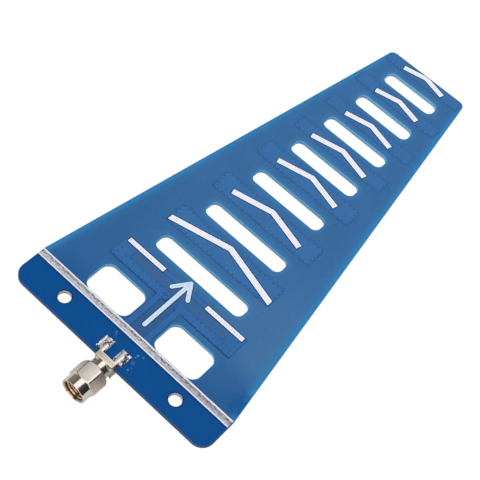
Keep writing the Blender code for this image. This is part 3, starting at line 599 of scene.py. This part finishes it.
def viaTemplate():
    shape = bmesh.new()
    radius, height = vias["radius"], vias["height"]
    top = radius * vias["topShare"]
    bmesh.ops.create_cone(shape, cap_ends=True, segments=8, radius1=radius, radius2=top, depth=height)
    lids = [face for face in shape.faces if face.normal.z > 0.9]
    bmesh.ops.inset_region(shape, faces=lids, thickness=radius * vias["rimShare"], depth=-height / 2)
    return meshFrom(shape, "via_template")


def rowOf(start, end, spacing):
    count = max(1, round((Vector(end) - Vector(start)).length / spacing))
    return [Vector(start).lerp(Vector(end), step / count) for step in range(count + 1)]


def makeVias(finish):
    template = viaTemplate()
    inset, spacing, shift = vias["inset"], vias["spacing"], copper["shift"]
    groups = {}
    for index, (near, far, half) in enumerate(directorRows(), 1):
        left, right = shift - half + inset, shift + half - inset
        spots = rowOf((left, near + inset), (right, near + inset), spacing)
        spots += rowOf((left, far - inset), (right, far - inset), spacing)
        for side in (left, right):
            spots += rowOf((side, near + inset), (side, far - inset), spacing)[1:-1]
        groups[f"director_{index}_vias"] = spots
    loop = []
    for side in (-1, 1):
        for x, y, endX, endY, step in vias["armRows"]:
            loop += rowOf((shift + side * x, y), (shift + side * endX, endY), step)
    *middle, arm = vias["cross"]
    loop += [Vector(middle) + arm * Vector(way) for way in ((0, 0), (1, 0), (-1, 0), (0, 1), (0, -1))]
    groups["dipole_vias"] = loop
    for name, spots in groups.items():
        shape = bmesh.new()
        for spot in spots:
            first = len(shape.verts)
            shape.from_mesh(template)
            shape.verts.ensure_lookup_table()
            place = (*spot, copper["thickness"] + vias["lift"])
            bmesh.ops.translate(shape, verts=shape.verts[first:], vec=place)
        finishPiece(shape, name, boardPlace, [finish], "board", 40)
    bpy.data.meshes.remove(template)
    print("vias:", sum(len(spots) for spots in groups.values()))


# Tinned strip and solder

tinning = {
    "strip": (-37.3, 37.3, 9.95, 12.55), "height": 0.08, "ripple": 0.025, "least": 0.004,
    "grid": (260, 12), "dullRight": (8, 10),  # squares along and across, and where the dull end begins
    "roll": 0.22, "bead": (0.36, 0.2, 0.045),  # the bead along both edges: its place, width and height
    "wander": 0.05, "sunk": 0.005,  # how far the edges wander, and how deep the tin starts in the copper
    **colours(
        edgeLine=(236, 240, 252), middle=(192, 190, 199), pale=(212, 211, 221), dashes=(48, 44, 52),
        dullEnd=(138, 138, 150), glints=(250, 250, 255),
    ),
}


def makeStripFinish():  # painted highlights: pale along both edges, with painted glints and fine dark dashes that run along the strip
    finish, shader, place = newFinish("tinnedStrip", 0.42, 0.3, 0.1)
    x, y = split(place)[:2]
    near, far = tinning["strip"][2:]
    edgeLine, middle = tinning["edgeLine"], tinning["middle"]
    across = measure(y, near, far - near)
    tone = ramp(across, [
        (0.0, edgeLine), (0.11, edgeLine), (0.17, middle), (0.35, tinning["pale"]), (0.5, middle),
        (0.78, middle), (0.85, edgeLine), (1.0, edgeLine),
    ])
    toRight = ramp(measure(x, *tinning["dullRight"]), [(0.0, 0.0), (1.0, 0.8)])
    inside = ramp(across, [
        (0.12, 0.0), (0.25, 0.45), (0.45, 0.6), (0.55, 1.0), (0.72, 0.6), (0.8, 0.0),
    ])
    tone = mixColours(calc("MULTIPLY", toRight, inside), tone, tinning["dullEnd"])
    streaky = vectorCalc("MULTIPLY", place, (0.8, 4.4, 1))
    # painted glints: bright specks along the strip
    glints = speckle(streaky, 1.9, 3, 0.6)
    tone = towards(tone, tinning["glints"], glints, [(0.55, 0.0), (0.68, 0.8)])
    dashes = ramp(speckle(streaky, 1.0, 4, 0.65), [(0.42, 1.0), (0.54, 0.0)])
    crowded = ramp(across, [(0.08, 0.0), (0.16, 0.5), (0.5, 0.5), (0.6, 1.0), (0.76, 1.0), (0.84, 0.0)])
    feed(shader, mixColours(calc("MULTIPLY", dashes, crowded), tone, tinning["dashes"]))
    emboss(shader, speckle(streaky, 2.0, 3), 0.25, 0.00003)
    return finish


def makeSolderFinish():  # bright, uneven solder with dull smears
    finish, shader, place = newFinish("legSolder", specular=0.4, metal=0.6)
    blotch = speckle(place, 0.95, 4, 0.6)
    tone = ramp(blotch, [(0.42, solder["smear"]), (0.47, solder["grey"]), (0.52, solder["clean"])])
    feed(shader, tone)
    feed(shader, ramp(blotch, [(0.36, 0.4), (0.5, 0.14)]), "Roughness")
    emboss(shader, speckle(place, 2.1, 3), 0.45, 0.00006)
    return finish


def closeBelow(shape):  # gives a height field walls down into the copper, and a floor
    for item in bmesh.ops.extrude_face_region(shape, geom=shape.faces[:])["geom"]:
        if isinstance(item, bmesh.types.BMVert):
            item.co.z = copper["thickness"] - tinning["sunk"]
    turnOutwards(shape)


def makeStrip(finish):
    size = tinning
    left, right, near, far = size["strip"]
    beadPlace, beadWidth, beadHeight = size["bead"]
    width, depth = right - left, far - near
    shape = unitGrid(*size["grid"])
    for vert in shape.verts:
        across = vert.co.y + 0.5
        x, y = left + (vert.co.x + 0.5) * width, near + across * depth
        toEdge = min(across, 1 - across) * depth
        roll = min(1, toEdge / size["roll"])
        bead = beadHeight * math.exp(-((toEdge - beadPlace) / beadWidth) ** 2)
        lump = noise.noise(Vector((x * 0.7, y * 1.8, 3))) + 0.5 * noise.noise(Vector((x * 2.3, y * 2.6, 9)))
        height = size["height"] * roll + bead + size["ripple"] * lump * roll
        wander = size["wander"] * noise.noise(Vector((x * 0.35, 4 * across, 1)))
        vert.co = Vector((x, y + wander, copper["thickness"] + max(size["least"], height)))
    closeBelow(shape)
    piece = finishPiece(shape, "strip", boardPlace, [finish], "board", 50)
    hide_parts("tinned_strip")
    print("tinned strip:", len(piece.data.polygons), "faces")


solder = {
    "padInner": 1.45, "padOuter": 4.9, "padNear": 1.5, "padFar": 6.0, "roll": 0.14, "least": 0.01,
    "grid": (44, 56),
    "middle": 0.25, "legMiddle": 2.7, "legHalf": 0.55, "legTip": 4.6, "film": 0.06, "climb": 0.68,
    "overTips": (0.32, 0.14),  # how much higher the solder stands at the left and the right leg's tip
    "tipRise": (3.0, 1.2),  # where that begins, and over what length it grows
    "reach": (0.72, 0.3), "lumps": (0.13, 0.05),  # how far it runs out, and the heights of its lumps
    **colours(smear=(62, 57, 58), grey=(176, 170, 178), clean=(255, 253, 255)),
}


def makeSolder(finish):
    size = solder
    near, depth = size["padNear"], size["padFar"] - size["padNear"]
    riseStart, riseLength = size["tipRise"]
    reach, spread = size["reach"]
    coarse, fine = size["lumps"]
    for side, name in ((-1, "ground_solder_left"), (1, "ground_solder_right")):
        legX = size["middle"] + side * size["legMiddle"]
        inner, outer = copper["shift"] + side * size["padInner"], copper["shift"] + side * size["padOuter"]
        left, width = min(inner, outer), abs(outer - inner)
        shape = unitGrid(*size["grid"])
        for vert in shape.verts:
            across, along = vert.co.x + 0.5, vert.co.y + 0.5
            x, y = left + across * width, near + along * depth
            toEdge = min(min(across, 1 - across) * width, min(along, 1 - along) * depth)
            roll = min(1, toEdge / size["roll"]) ** 0.5
            beside = max(0, abs(x - legX) - size["legHalf"])
            away = math.hypot(beside, max(0, y - size["legTip"]))
            lump = noise.noise(Vector((x * 1.0, y * 0.9, side * 5)))
            grain = noise.noise(Vector((x * 3.1, y * 2.9, side * 7)))
            towardsTip = min(1, max(0, (y - riseStart) / riseLength))
            climb = size["climb"] + size["overTips"][side > 0] * towardsTip
            fillet = climb * math.exp(-(away / (reach + spread * lump)) ** 1.5)
            height = (size["film"] + fillet) * roll + (coarse * lump + fine * grain) * roll
            vert.co = Vector((x, y, copper["thickness"] + max(size["least"], height)))
        closeBelow(shape)
        piece = finishPiece(shape, name.replace("ground", "leg"), boardPlace, [finish], "board", 60)
        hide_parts(name)
    dress("pin_solder", finish)
    print("solder on the legs: 2")


# Printed marks

marks = {
    "thickness": 0.05, "margin": 0.16,
    # width of the dark line round a mark (painted shade where the mask meets the ink), width of its rim, and
    # how deep the ink goes
    "plainEdge": (0.15, 0.55, 0.055), "arrowEdge": (0.16, 0.38, 0.13),
    "chevronWidth": 2.27, "chevronSlope": math.radians(14.7),
    "setbacks": (0.1, 0.2, 0.2, 0.3, 0.3, 0.4, -0.2), "insets": (0.2, 5.9, 6.6, 6.7, 7.8, 7.9, 7.0),
    "bar": (8.3, 23.1, 32.3, 34.1), "barDots": 1.05,
    "arrowWidth": 1.37, "arrowStart": 15.3, "arrowTip": 36.4,
    "headLength": 6.6, "headAngle": math.radians(32.7),
    **colours(
        white=(238, 255, 255), middle=(250, 247, 254), hatch=(230, 226, 239), arrowMiddle=(182, 224, 250),
        # edge: painted shade round each mark, where the mask meets the ink
        edge=(14, 52, 116), dots=(176, 164, 206),
    ),
}


def makeInkFinish(name, middle, dotted=False):
    finish, shader, place = newFinish(name, 0.55, 0.2)
    hatching = speckle(vectorCalc("MULTIPLY", place, (1, 3, 1)), 1.3, 4, 0.65)
    tone = towards(middle, marks["hatch"], hatching, [(0.42, 0.75), (0.58, 0.0)])
    if dotted:
        x, y = split(place)[:2]
        near, far = marks["bar"][2:]
        along = calc("SUBTRACT", calc("FRACT", calc("DIVIDE", x, marks["barDots"])), 0.5)
        aside = calc("SUBTRACT", y, (near + far) / 2)
        fromDot = vectorCalc("LENGTH", addNode("CombineXYZ", {0: along, 1: aside}).outputs[0])
        tone = towards(tone, marks["dots"], fromDot, [(0.12, 0.7), (0.24, 0.0)])
    rim = rimOf(shader)
    tone = towards(tone, marks["white"], rim, [(0.05, 0.0), (0.2, 1.0)])
    # painted shade: the dark line round the mark, where the mask meets the ink
    feed(shader, towards(tone, marks["edge"], rim, [(0.44, 0.0), (0.52, 1.0)]))
    emboss(shader, speckle(place, 2.5, 3), 0.15, 0.00002)
    return finish


def makeMark(name, corners, finish, edge="plainEdge"):
    outline, ring, depth = marks[edge]
    top = copper["thickness"] + marks["thickness"]
    shape = cutSheet([growLoop(corners, outline)], top, depth, ring, 0, 6)
    piece = finishPiece(shape, name + "_print", boardPlace, [finish], "board", 30)
    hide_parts(name)


def chevronLoop(index):
    width, slope = marks["chevronWidth"], marks["chevronSlope"]
    far = directors["far"][index]
    point, limit = far - marks["setbacks"][index], far - marks["margin"]
    blunt = max(point - limit, 0) / math.tan(slope)
    span = directors["halfSpans"][index] - marks["insets"][index]
    end = point - span * math.tan(slope)
    lower = (span, end - width / math.cos(slope))  # the first chevron ends upright, the others square
    if index:
        lower = (span - width * math.sin(slope), end - width * math.cos(slope))
    right = [(0, point - width / math.cos(slope)), lower, (span, end), (blunt, min(point, limit))]
    left = [(-x, y) for x, y in reversed(right[1:] if blunt else right[1:-1])]
    return [(copper["shift"] + x, y, 0) for x, y in right + left]


def arrowLoop():
    radius, angle, middle = marks["arrowWidth"] / 2, marks["headAngle"], copper["shift"]
    start, tip = marks["arrowStart"], marks["arrowTip"] - radius
    along = Vector((math.sin(angle), -math.cos(angle)))  # down the right arm of the head
    out = Vector((math.cos(angle), math.sin(angle))) * radius
    end = along * marks["headLength"]
    armpit = -radius * (1 + math.cos(angle)) / math.sin(angle)
    right = [(radius, armpit, 0), (*(end - out), radius), (*(end + out), radius)]
    right.append((0, radius / math.sin(angle), radius))
    left = [(-x, y, corner) for x, y, corner in reversed(right[:-1])]
    loop = [(middle + x, tip + y, corner) for x, y, corner in right + left]
    return loop + [(middle - radius, start, radius), (middle + radius, start, radius)]


def makeMarks():
    ink = makeInkFinish("printedMark", marks["middle"])
    dotted = makeInkFinish("printedBar", marks["middle"], True)
    arrowInk = makeInkFinish("printedArrow", marks["arrowMiddle"])
    inner, outer, near, far = marks["bar"]
    for side, name in ((-1, "dipole_bar_left"), (1, "dipole_bar_right")):
        left, right = sorted((copper["shift"] + side * inner, copper["shift"] + side * outer))
        makeMark(name, box4(left, right, near, far), dotted)
    for index in range(len(marks["insets"])):
        makeMark(f"chevron_{index + 1}", chevronLoop(index), ink)
    makeMark("direction_arrow", arrowLoop(), arrowInk, "arrowEdge")
    print("printed marks:", 3 + len(marks["insets"]))


# Coaxial plug, drawn along its own axis: z runs forwards from the board's near edge

plug = {
    "side": 6.5, "flangeFront": 0.8, "flangeRear": -1.1, "flangeBore": 2.1, "edge": 0.12, "faceRing": 0.4,
    "legTip": -4.6, "legWidth": 1.1, "legHeight": 0.86, "legOverlap": 0.2, "legInset": 0.01,
    "neckRadius": 3.2, "neckFront": 3.1, "neckSunk": 0.3, "chamfer": 0.1,
    "journalRadius": 2.6, "journalFront": 6.9, "sleeveRadius": 2.3, "sleeveBore": 2.05, "sleeveFront": 8.9,
    "sleeveSunk": 0.05, "lips": (0.05, 0.08), "steps": 72, "flangeMiddle": 0.15,
    **colours(
        nickel=(255, 250, 242), nickelWarm=(250, 243, 232), satin=(252, 245, 240),
        satinWarm=(248, 238, 228), satinShade=(238, 215, 192), rearTone=(150, 132, 112),
        rearWarm=(128, 112, 94), flangeTone=(246, 236, 220), flangeWarm=(226, 213, 192),
        flangeDull=(200, 184, 160), flangeEdge=(255, 252, 240), flangeLow=(224, 198, 164),
    ),
}


def tintFlange(place, tone):  # dull specks, a pale edge before and behind as painted highlight, and darker feet as painted shade
    y, z = split(place)[1:]
    specks = speckle(place, 3.4, 3, 0.7)
    tone = towards(tone, plug["flangeDull"], specks, [(0.4, 0.8), (0.56, 0.0)])
    fromMiddle = calc("ABSOLUTE", calc("SUBTRACT", y, plug["flangeMiddle"]))
    tone = towards(tone, plug["flangeEdge"], fromMiddle, [(0.6, 0.0), (0.78, 1.0)])
    return towards(tone, plug["flangeLow"], calc("DIVIDE", z, -6), [(0.2, 0.0), (0.5, 1.0)])


def tintSatin(place, tone):  # painted shade: darker on the flat that turns away to the right, and more towards the board
    x, y = split(place)[:2]
    aside = ramp(calc("DIVIDE", x, 10), [(0.27, 0.0), (0.33, 1.0)])
    toBoard = ramp(calc("DIVIDE", y, -10), [(0.3, 1.0), (0.9, 0.35)])
    return mixColours(calc("MULTIPLY", aside, toBoard), tone, plug["satinShade"])


def makeNickelFinish(name, smooth, rough, first, second, grain=0.7, metal=1.0, tint=None):
    finish, shader, place = newFinish(name, metal=metal)
    cloud = speckle(place, grain, 3)
    tone = towards(plug[first], plug[second], cloud, [(0.35, 0.0), (0.7, 1.0)])
    feed(shader, tint(place, tone) if tint else tone)
    feed(shader, twoTone(cloud, smooth, rough), "Roughness")
    turned = vectorCalc("MULTIPLY", place, (0.6, 9, 0.6))
    emboss(shader, speckle(turned, 1.0, 3, 0.6), 0.12, 0.00002)
    return finish


def makePlugBody(flangeFinish, barrelFinish, insideFinish):
    size = plug
    half, edge, front, rear = size["side"] / 2, size["edge"], size["flangeFront"], size["flangeRear"]
    square = box4(-half, half, -half, half, edge)
    loops = [square, roundHole(0, 0, size["flangeBore"])]
    shape = cutSheet(loops, front, front - rear, size["faceRing"], edge, 6)
    legLength = rear + size["legOverlap"] - size["legTip"]
    legSize = Matrix.Diagonal((size["legWidth"], size["legHeight"], legLength, 1))
    x, y = half - size["legWidth"] / 2 - size["legInset"], half - size["legHeight"] / 2 - size["legInset"]
    for side, level in ((-1, -1), (-1, 1), (1, -1), (1, 1)):
        place = Matrix.Translation((side * x, level * y, size["legTip"] + legLength / 2))
        corners = bmesh.ops.create_cube(shape, size=1, matrix=place @ legSize)["verts"]
        edges = list(dict.fromkeys(line for vert in corners for line in vert.link_edges))
        bmesh.ops.bevel(shape, geom=edges, offset=edge, segments=2, profile=0.5, affect="EDGES", material=-1)
    neck, neckFront, chamfer = size["neckRadius"], size["neckFront"], size["chamfer"]
    journal, journalFront = size["journalRadius"], size["journalFront"]
    sleeve, bore = size["sleeveRadius"], size["sleeveBore"]
    tip, foot = size["sleeveFront"], rear + size["sleeveSunk"]
    lipIn, lipOut = size["lips"]
    barrel = [
        (bore, foot), (bore, tip - lipIn), (bore + lipIn, tip), (sleeve - lipOut, tip),
        (sleeve, tip - lipOut), (sleeve, journalFront), (journal - chamfer, journalFront),
        (journal, journalFront - chamfer), (journal, neckFront), (neck - chamfer, neckFront),
        (neck, neckFront - chamfer), (neck, front - size["neckSunk"]), (sleeve, foot),
    ]
    milled = len(shape.faces)
    lathe(shape, barrel, size["steps"])
    turnOutwards(shape)
    shape.faces.ensure_lookup_table()
    for face in shape.faces[milled:]:
        # the sleeve's front gets the gold painted pale as highlight
        face.material_index = 2 if face.calc_center_median().z > journalFront else 1
    finishes = [flangeFinish, barrelFinish, insideFinish]
    piece = finishPiece(shape, "plug", plugPlace, finishes, "board", 35)
    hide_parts("plug_body")
    print("plug:", len(piece.data.polygons), "faces")


nut = {
    "flat": 4.25, "rear": 3.4, "hexFront": 9.1, "front": 12.1, "noseRadius": 4.15, "noseChamfer": 0.25,
    "blankRadius": 5.06, "rearCone": (4.1, 0.9), "frontCone": (4.2, 0.5), "cornerRound": 0.5, "soft": 0.1,
    "journalBore": 2.75, "ringRoom": (3.35, 4.4, 5.2), "mouth": (3.8, 0.3), "throat": 3.5, "throatTaper": 0.2,
    "ridge": (math.radians(-3), math.radians(6.3)),  # the bright band along each corner of the hexagon
    "threadRoot": 3.22, "threadCrest": 2.95, "threadPitch": 0.706, "threadTurns": 8, "threadStart": 5.5,
    "threadSunk": 0.03, "rootHalf": 0.32, "crestHalf": 0.05, "steps": 288, "threadSteps": 40,
    # roughness, specular, metal, grain, dark and pale of the two golds inside: the thread's gold painted dark
    # as shade, the crests' gold painted pale as highlight
    "threadGold": (0.11, 0.5, 1.0, 1.4, (104, 66, 36), (150, 108, 70)),
    "crestGold": (0.11, 0.5, 1.0, 1.4, (222, 186, 142), (246, 226, 196)),
}


def pastCorner(way):  # the angle from the hexagon's nearest corner
    return (way + math.pi / 6) % (math.pi / 3) - math.pi / 6


def hexRadius(way):  # how far the hexagon's rounded side is from the axis, in the direction way
    flat, rounding = nut["flat"], nut["cornerRound"]
    fromCorner = abs(pastCorner(way))
    centre = (flat - rounding) / math.cos(math.pi / 6)
    tangent = math.atan2(rounding / 2, centre + rounding * math.cos(math.pi / 6))
    if fromCorner > tangent:
        return flat / math.cos(math.pi / 6 - fromCorner)
    return centre * math.cos(fromCorner) + math.sqrt(rounding ** 2 - (centre * math.sin(fromCorner)) ** 2)


def makeNut(finish, noseFinish, insideFinish, crestFinish, rearFinish):
    size = nut
    nose, front, rear, blank = size["noseRadius"], size["front"], size["rear"], size["blankRadius"]
    shoulder, chamfer, soft = size["hexFront"], size["noseChamfer"], size["soft"]
    frontStart, frontDrop = size["frontCone"]
    rearStart, rearDrop = size["rearCone"]
    bore, (room, roomRear, roomFront), root = size["journalBore"], size["ringRoom"], size["threadRoot"]
    mouth, throatFront = size["mouth"][0], front - size["mouth"][1]
    profile = [(nose - chamfer + chamfer * math.sin(turn), front - chamfer + chamfer * math.cos(turn))
               for turn in (0, math.pi / 6, math.pi / 3, math.pi / 2)]
    profile += [
        (nose, shoulder), (frontStart, shoulder), (blank, shoulder - frontDrop),
        (blank, shoulder - frontDrop - soft), (blank, rear + rearDrop + soft), (blank, rear + rearDrop),
        (rearStart, rear), (bore, rear), (bore, roomRear), (room, roomRear), (room, roomFront),
        (root, roomFront), (root, throatFront - size["throatTaper"]), (size["throat"], throatFront),
        (mouth, front),
    ]
    shape = bmesh.new()
    lathe(shape, profile, size["steps"])
    bmesh.ops.remove_doubles(shape, verts=shape.verts[:], dist=0.001)
    for vert in shape.verts:  # the four rings on the blank's rim move in to where the cones meet the hexagon
        if abs(math.hypot(vert.co.x, vert.co.y) - blank) > 0.001:
            continue
        base, start, drop, inwards = rear, rearStart, rearDrop, 1
        if vert.co.z > (shoulder + rear) / 2:
            base, start, drop, inwards = shoulder, frontStart, frontDrop, -1
        onFlat = inwards * (vert.co.z - base) - drop > soft / 2
        way = math.atan2(vert.co.y, vert.co.x)
        edge = hexRadius(way) - (0 if onFlat else soft)
        height = base + inwards * (drop * (edge - start) / (blank - start) + (soft if onFlat else 0))
        vert.co = Vector((edge * math.cos(way), edge * math.sin(way), height))
    turnOutwards(shape)
    shape.normal_update()
    ridgeStart, ridgeEnd = size["ridge"]
    for face in shape.faces:
        spot = face.calc_center_median()
        onRidge = ridgeStart < pastCorner(math.atan2(spot.y, spot.x)) < ridgeEnd
        # inside faces: gold painted dark as shade, and pale as highlight at the mouth's lip
        if face.normal.xy.dot(spot.xy) < -0.1:
            face.material_index = 4 if spot.z > throatFront else 2
        # faces turned back towards the flange get a darker nickel, painted shade
        elif face.normal.z < -0.5 and spot.z < rear + rearDrop:
            face.material_index = 3
        elif spot.z > shoulder - 0.02 or face.normal.z > 0.3 or onRidge:
            face.material_index = 1
    finishes = [finish, noseFinish, insideFinish, rearFinish, crestFinish]
    piece = finishPiece(shape, "nut", plugPlace, finishes, "nut", 33)
    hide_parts("coupling_nut")
    makeThread(crestFinish)
    print("nut:", len(piece.data.polygons), "faces")


def makeThread(finish):
    root, crest = nut["threadRoot"] + nut["threadSunk"], nut["threadCrest"]
    rootHalf, crestHalf = nut["rootHalf"], nut["crestHalf"]
    section = [(root, -rootHalf), (crest, -crestHalf), (crest, crestHalf), (root, rootHalf)]
    shape = bmesh.new()
    corners = [shape.verts.new((radius, 0, nut["threadStart"] + height)) for radius, height in section]
    face = shape.faces.new(corners)
    turns, steps = nut["threadTurns"], nut["threadSteps"]
    bmesh.ops.spin(
        shape, geom=[*corners, *face.edges, face], cent=(0, 0, 0), axis=upAxis,
        dvec=(0, 0, nut["threadPitch"] / steps), angle=math.tau * turns, steps=steps * turns, use_merge=False,
        use_duplicate=False,
    )
    turnOutwards(shape)
    finishPiece(shape, "nut_thread", plugPlace, [finish], "nut", 35)


contact = {  # material, roughness, specular, metal, grain, dark and pale of each node
    "centre_pin": ("goldContact", 0.24, 0.5, 1.0, 1.5, (226, 192, 118), (240, 212, 150)),
    "insulator": ("dielectricWhite", 0.5, 0.3, 0.0, 1.2, (228, 226, 216), (242, 241, 234)),
    "retaining_ring": ("springMetal", 0.35, 0.5, 1.0, 2, (150, 146, 140), (182, 178, 170)),
}


def dressContact():
    for nodeName, values in contact.items():
        dress(nodeName, makeSpeckledFinish(*values))
    print("contact, insulator and ring:", len(contact))


# Stage, lamps and camera

stage = {
    "floorSize": 4.0, "nutFoot": 0.0009, "paint": (0.9, 0.9, 0.9, 1), "floorGlow": 1.03, "glow": 0.96,
    "metalShare": 0.6, "metalGlow": 0.4, "skyForSurfaces": 0.64,
    "farLeft": (0.225, 0.186, 0.16, 1), "left": (0.104, 0.085, 0.07, 1), "nearRight": (0.155, 0.129, 0.11, 1),
    "right": (0.056, 0.045, 0.037, 1), "farRight": (0.026, 0.02, 0.016, 1),
}
lamps = {
    "overhead": {"place": (0.05, 0.15, 1.1), "aim": (0, 0, 0), "size": 0.9, "power": 3.7},
    "front": {"place": (-0.7, -0.9, 0.7), "aim": (0, -0.03, 0), "size": 0.8, "power": 2.5},
}
view = {
    "lens": 76.355, "fromBoard": (0.0723418, -0.1017358, 0.2568608),
    "turn": (32.727602, -11.198453, 41.276711),
}


def rayKinds(tree):
    rays = addNode("LightPath", {}, tree).outputs
    seen = calc("MAXIMUM", rays["Is Camera Ray"], rays["Is Transmission Ray"])
    return seen, rays["Is Glossy Ray"]


def emptyTree(owner):
    owner.use_nodes = True
    owner.node_tree.nodes.clear()
    return owner.node_tree


def makeFloor():  # runs under the nut and the board's far end, on which the part lies
    shape = unitGrid(1, 1)
    nearFoot = Vector((0, nutHigh.y - stage["nutFoot"], 0))
    farFoot = Vector((0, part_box("director_7_under")[1].y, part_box("director_7_under")[0].z))
    slope = math.atan2(farFoot.z - nearFoot.z, farFoot.y - nearFoot.y)
    place = Matrix.Translation(nearFoot) @ Matrix.Rotation(slope, 4, "X")
    place = place @ Matrix.Scale(stage["floorSize"], 4)
    bmesh.ops.transform(shape, matrix=place, verts=shape.verts[:])
    finish = bpy.data.materials.new("paleFloor")
    tree = emptyTree(finish)
    seen, glossy = rayKinds(tree)
    paint = addNode("BsdfDiffuse", {"Color": stage["paint"]}, tree).outputs[0]
    strength = calc("MULTIPLY_ADD", glossy, stage["metalGlow"] - stage["floorGlow"], stage["floorGlow"])
    glow = addNode("Emission", {"Color": (1, 1, 1, 1), "Strength": strength}).outputs[0]
    amount = calc("MULTIPLY", seen, stage["glow"])
    amount = calc("MULTIPLY_ADD", glossy, stage["metalShare"], amount)
    mixed = addNode("MixShader", {0: amount, 1: paint, 2: glow}).outputs[0]
    addNode("OutputMaterial", {"Surface": mixed})
    floor = addObject("floor", meshFrom(shape, "floor", [finish]))


def makeSky():  # white where it is seen, plain on surfaces, and with dark sides for the metal
    world = bpy.data.worlds.new("studio")
    bpy.context.scene.world = world
    tree = emptyTree(world)
    seen, glossy = rayKinds(tree)
    way = split(addNode("TexCoord", {}, tree).outputs["Generated"])[0]
    shine = ramp(calc("MULTIPLY_ADD", way, 0.5, 0.5), [
        (0.0, stage["farLeft"]), (0.30, stage["left"]), (0.35, 0.75), (0.43, 1.0), (0.56, 1.0),
        (0.66, 1.0), (0.7, stage["nearRight"]), (0.78, stage["right"]), (0.95, stage["farRight"]),
        (1.0, stage["farRight"]),
    ])
    white = (1, 1, 1, 1)
    plainSky, shineSky, seenSky = [
        addNode("Background", {"Color": colour, "Strength": strength}, tree).outputs[0]
        for colour, strength in ((white, stage["skyForSurfaces"]), (shine, 1.0), (white, 1.0))
    ]
    sky = addNode("MixShader", {0: glossy, 1: plainSky, 2: shineSky}).outputs[0]
    sky = addNode("MixShader", {0: seen, 1: sky, 2: seenSky}).outputs[0]
    addNode("OutputWorld", {"Surface": sky})


def placeLamps():
    for name, lamp in lamps.items():
        light = bpy.data.lights.new(name, "AREA")
        light.size = lamp["size"]
        light.energy = lamp["power"]
        holder = addObject(name, light)
        holder.location = lamp["place"]
        away = Vector(lamp["place"]) - Vector(lamp["aim"])
        holder.rotation_euler = away.to_track_quat("Z", "Y").to_euler()
        holder.visible_glossy = False


def placeCamera():
    camera = addObject("camera", bpy.data.cameras.new("camera"))
    camera.data.lens = view["lens"]
    camera.data.sensor_width = 36
    camera.data.clip_start = 0.01
    camera.location = boardOrigin + Vector(view["fromBoard"])
    camera.rotation_euler = [math.radians(angle) for angle in view["turn"]]
    bpy.context.scene.camera = camera
    bpy.context.scene.view_settings.view_transform = "Standard"


makeFloor()
makeSky()
placeLamps()
placeCamera()
print("stage, lamps and camera set")
makeLaminate(makeLaminateFinish(), makeRoutedFinish(), makePlatedHoleFinish())
copperFinish = makeCopperFinish()
makeRadiator(copperFinish)
makeDirectors(copperFinish)
makeVias(makeViaFinish())
makeStrip(makeStripFinish())
makeSolder(makeSolderFinish())
makeMarks()
satinNickel = makeNickelFinish("satinNickel", 0.4, 0.48, "satin", "satinWarm", tint=tintSatin)
brightNickel = makeNickelFinish("brightNickel", 0.08, 0.14, "nickel", "nickelWarm")
flangeNickel = makeNickelFinish("flangeNickel", 0.26, 0.4, "flangeTone", "flangeWarm", 2.4, 0.75, tintFlange)
# a darker, duller nickel: painted shade on the nut's rear faces
rearNickel = makeNickelFinish("rearNickel", 0.45, 0.55, "rearTone", "rearWarm", 0.7, 0.6)
# gold painted dark as shade inside the nut, and pale as highlight on the crests, the mouth and the sleeve's
# front
insideGold = makeSpeckledFinish("threadGold", *nut["threadGold"])
crestGold = makeSpeckledFinish("crestGold", *nut["crestGold"])
makePlugBody(flangeNickel, brightNickel, crestGold)
makeNut(satinNickel, brightNickel, insideGold, crestGold, rearNickel)
dressContact()
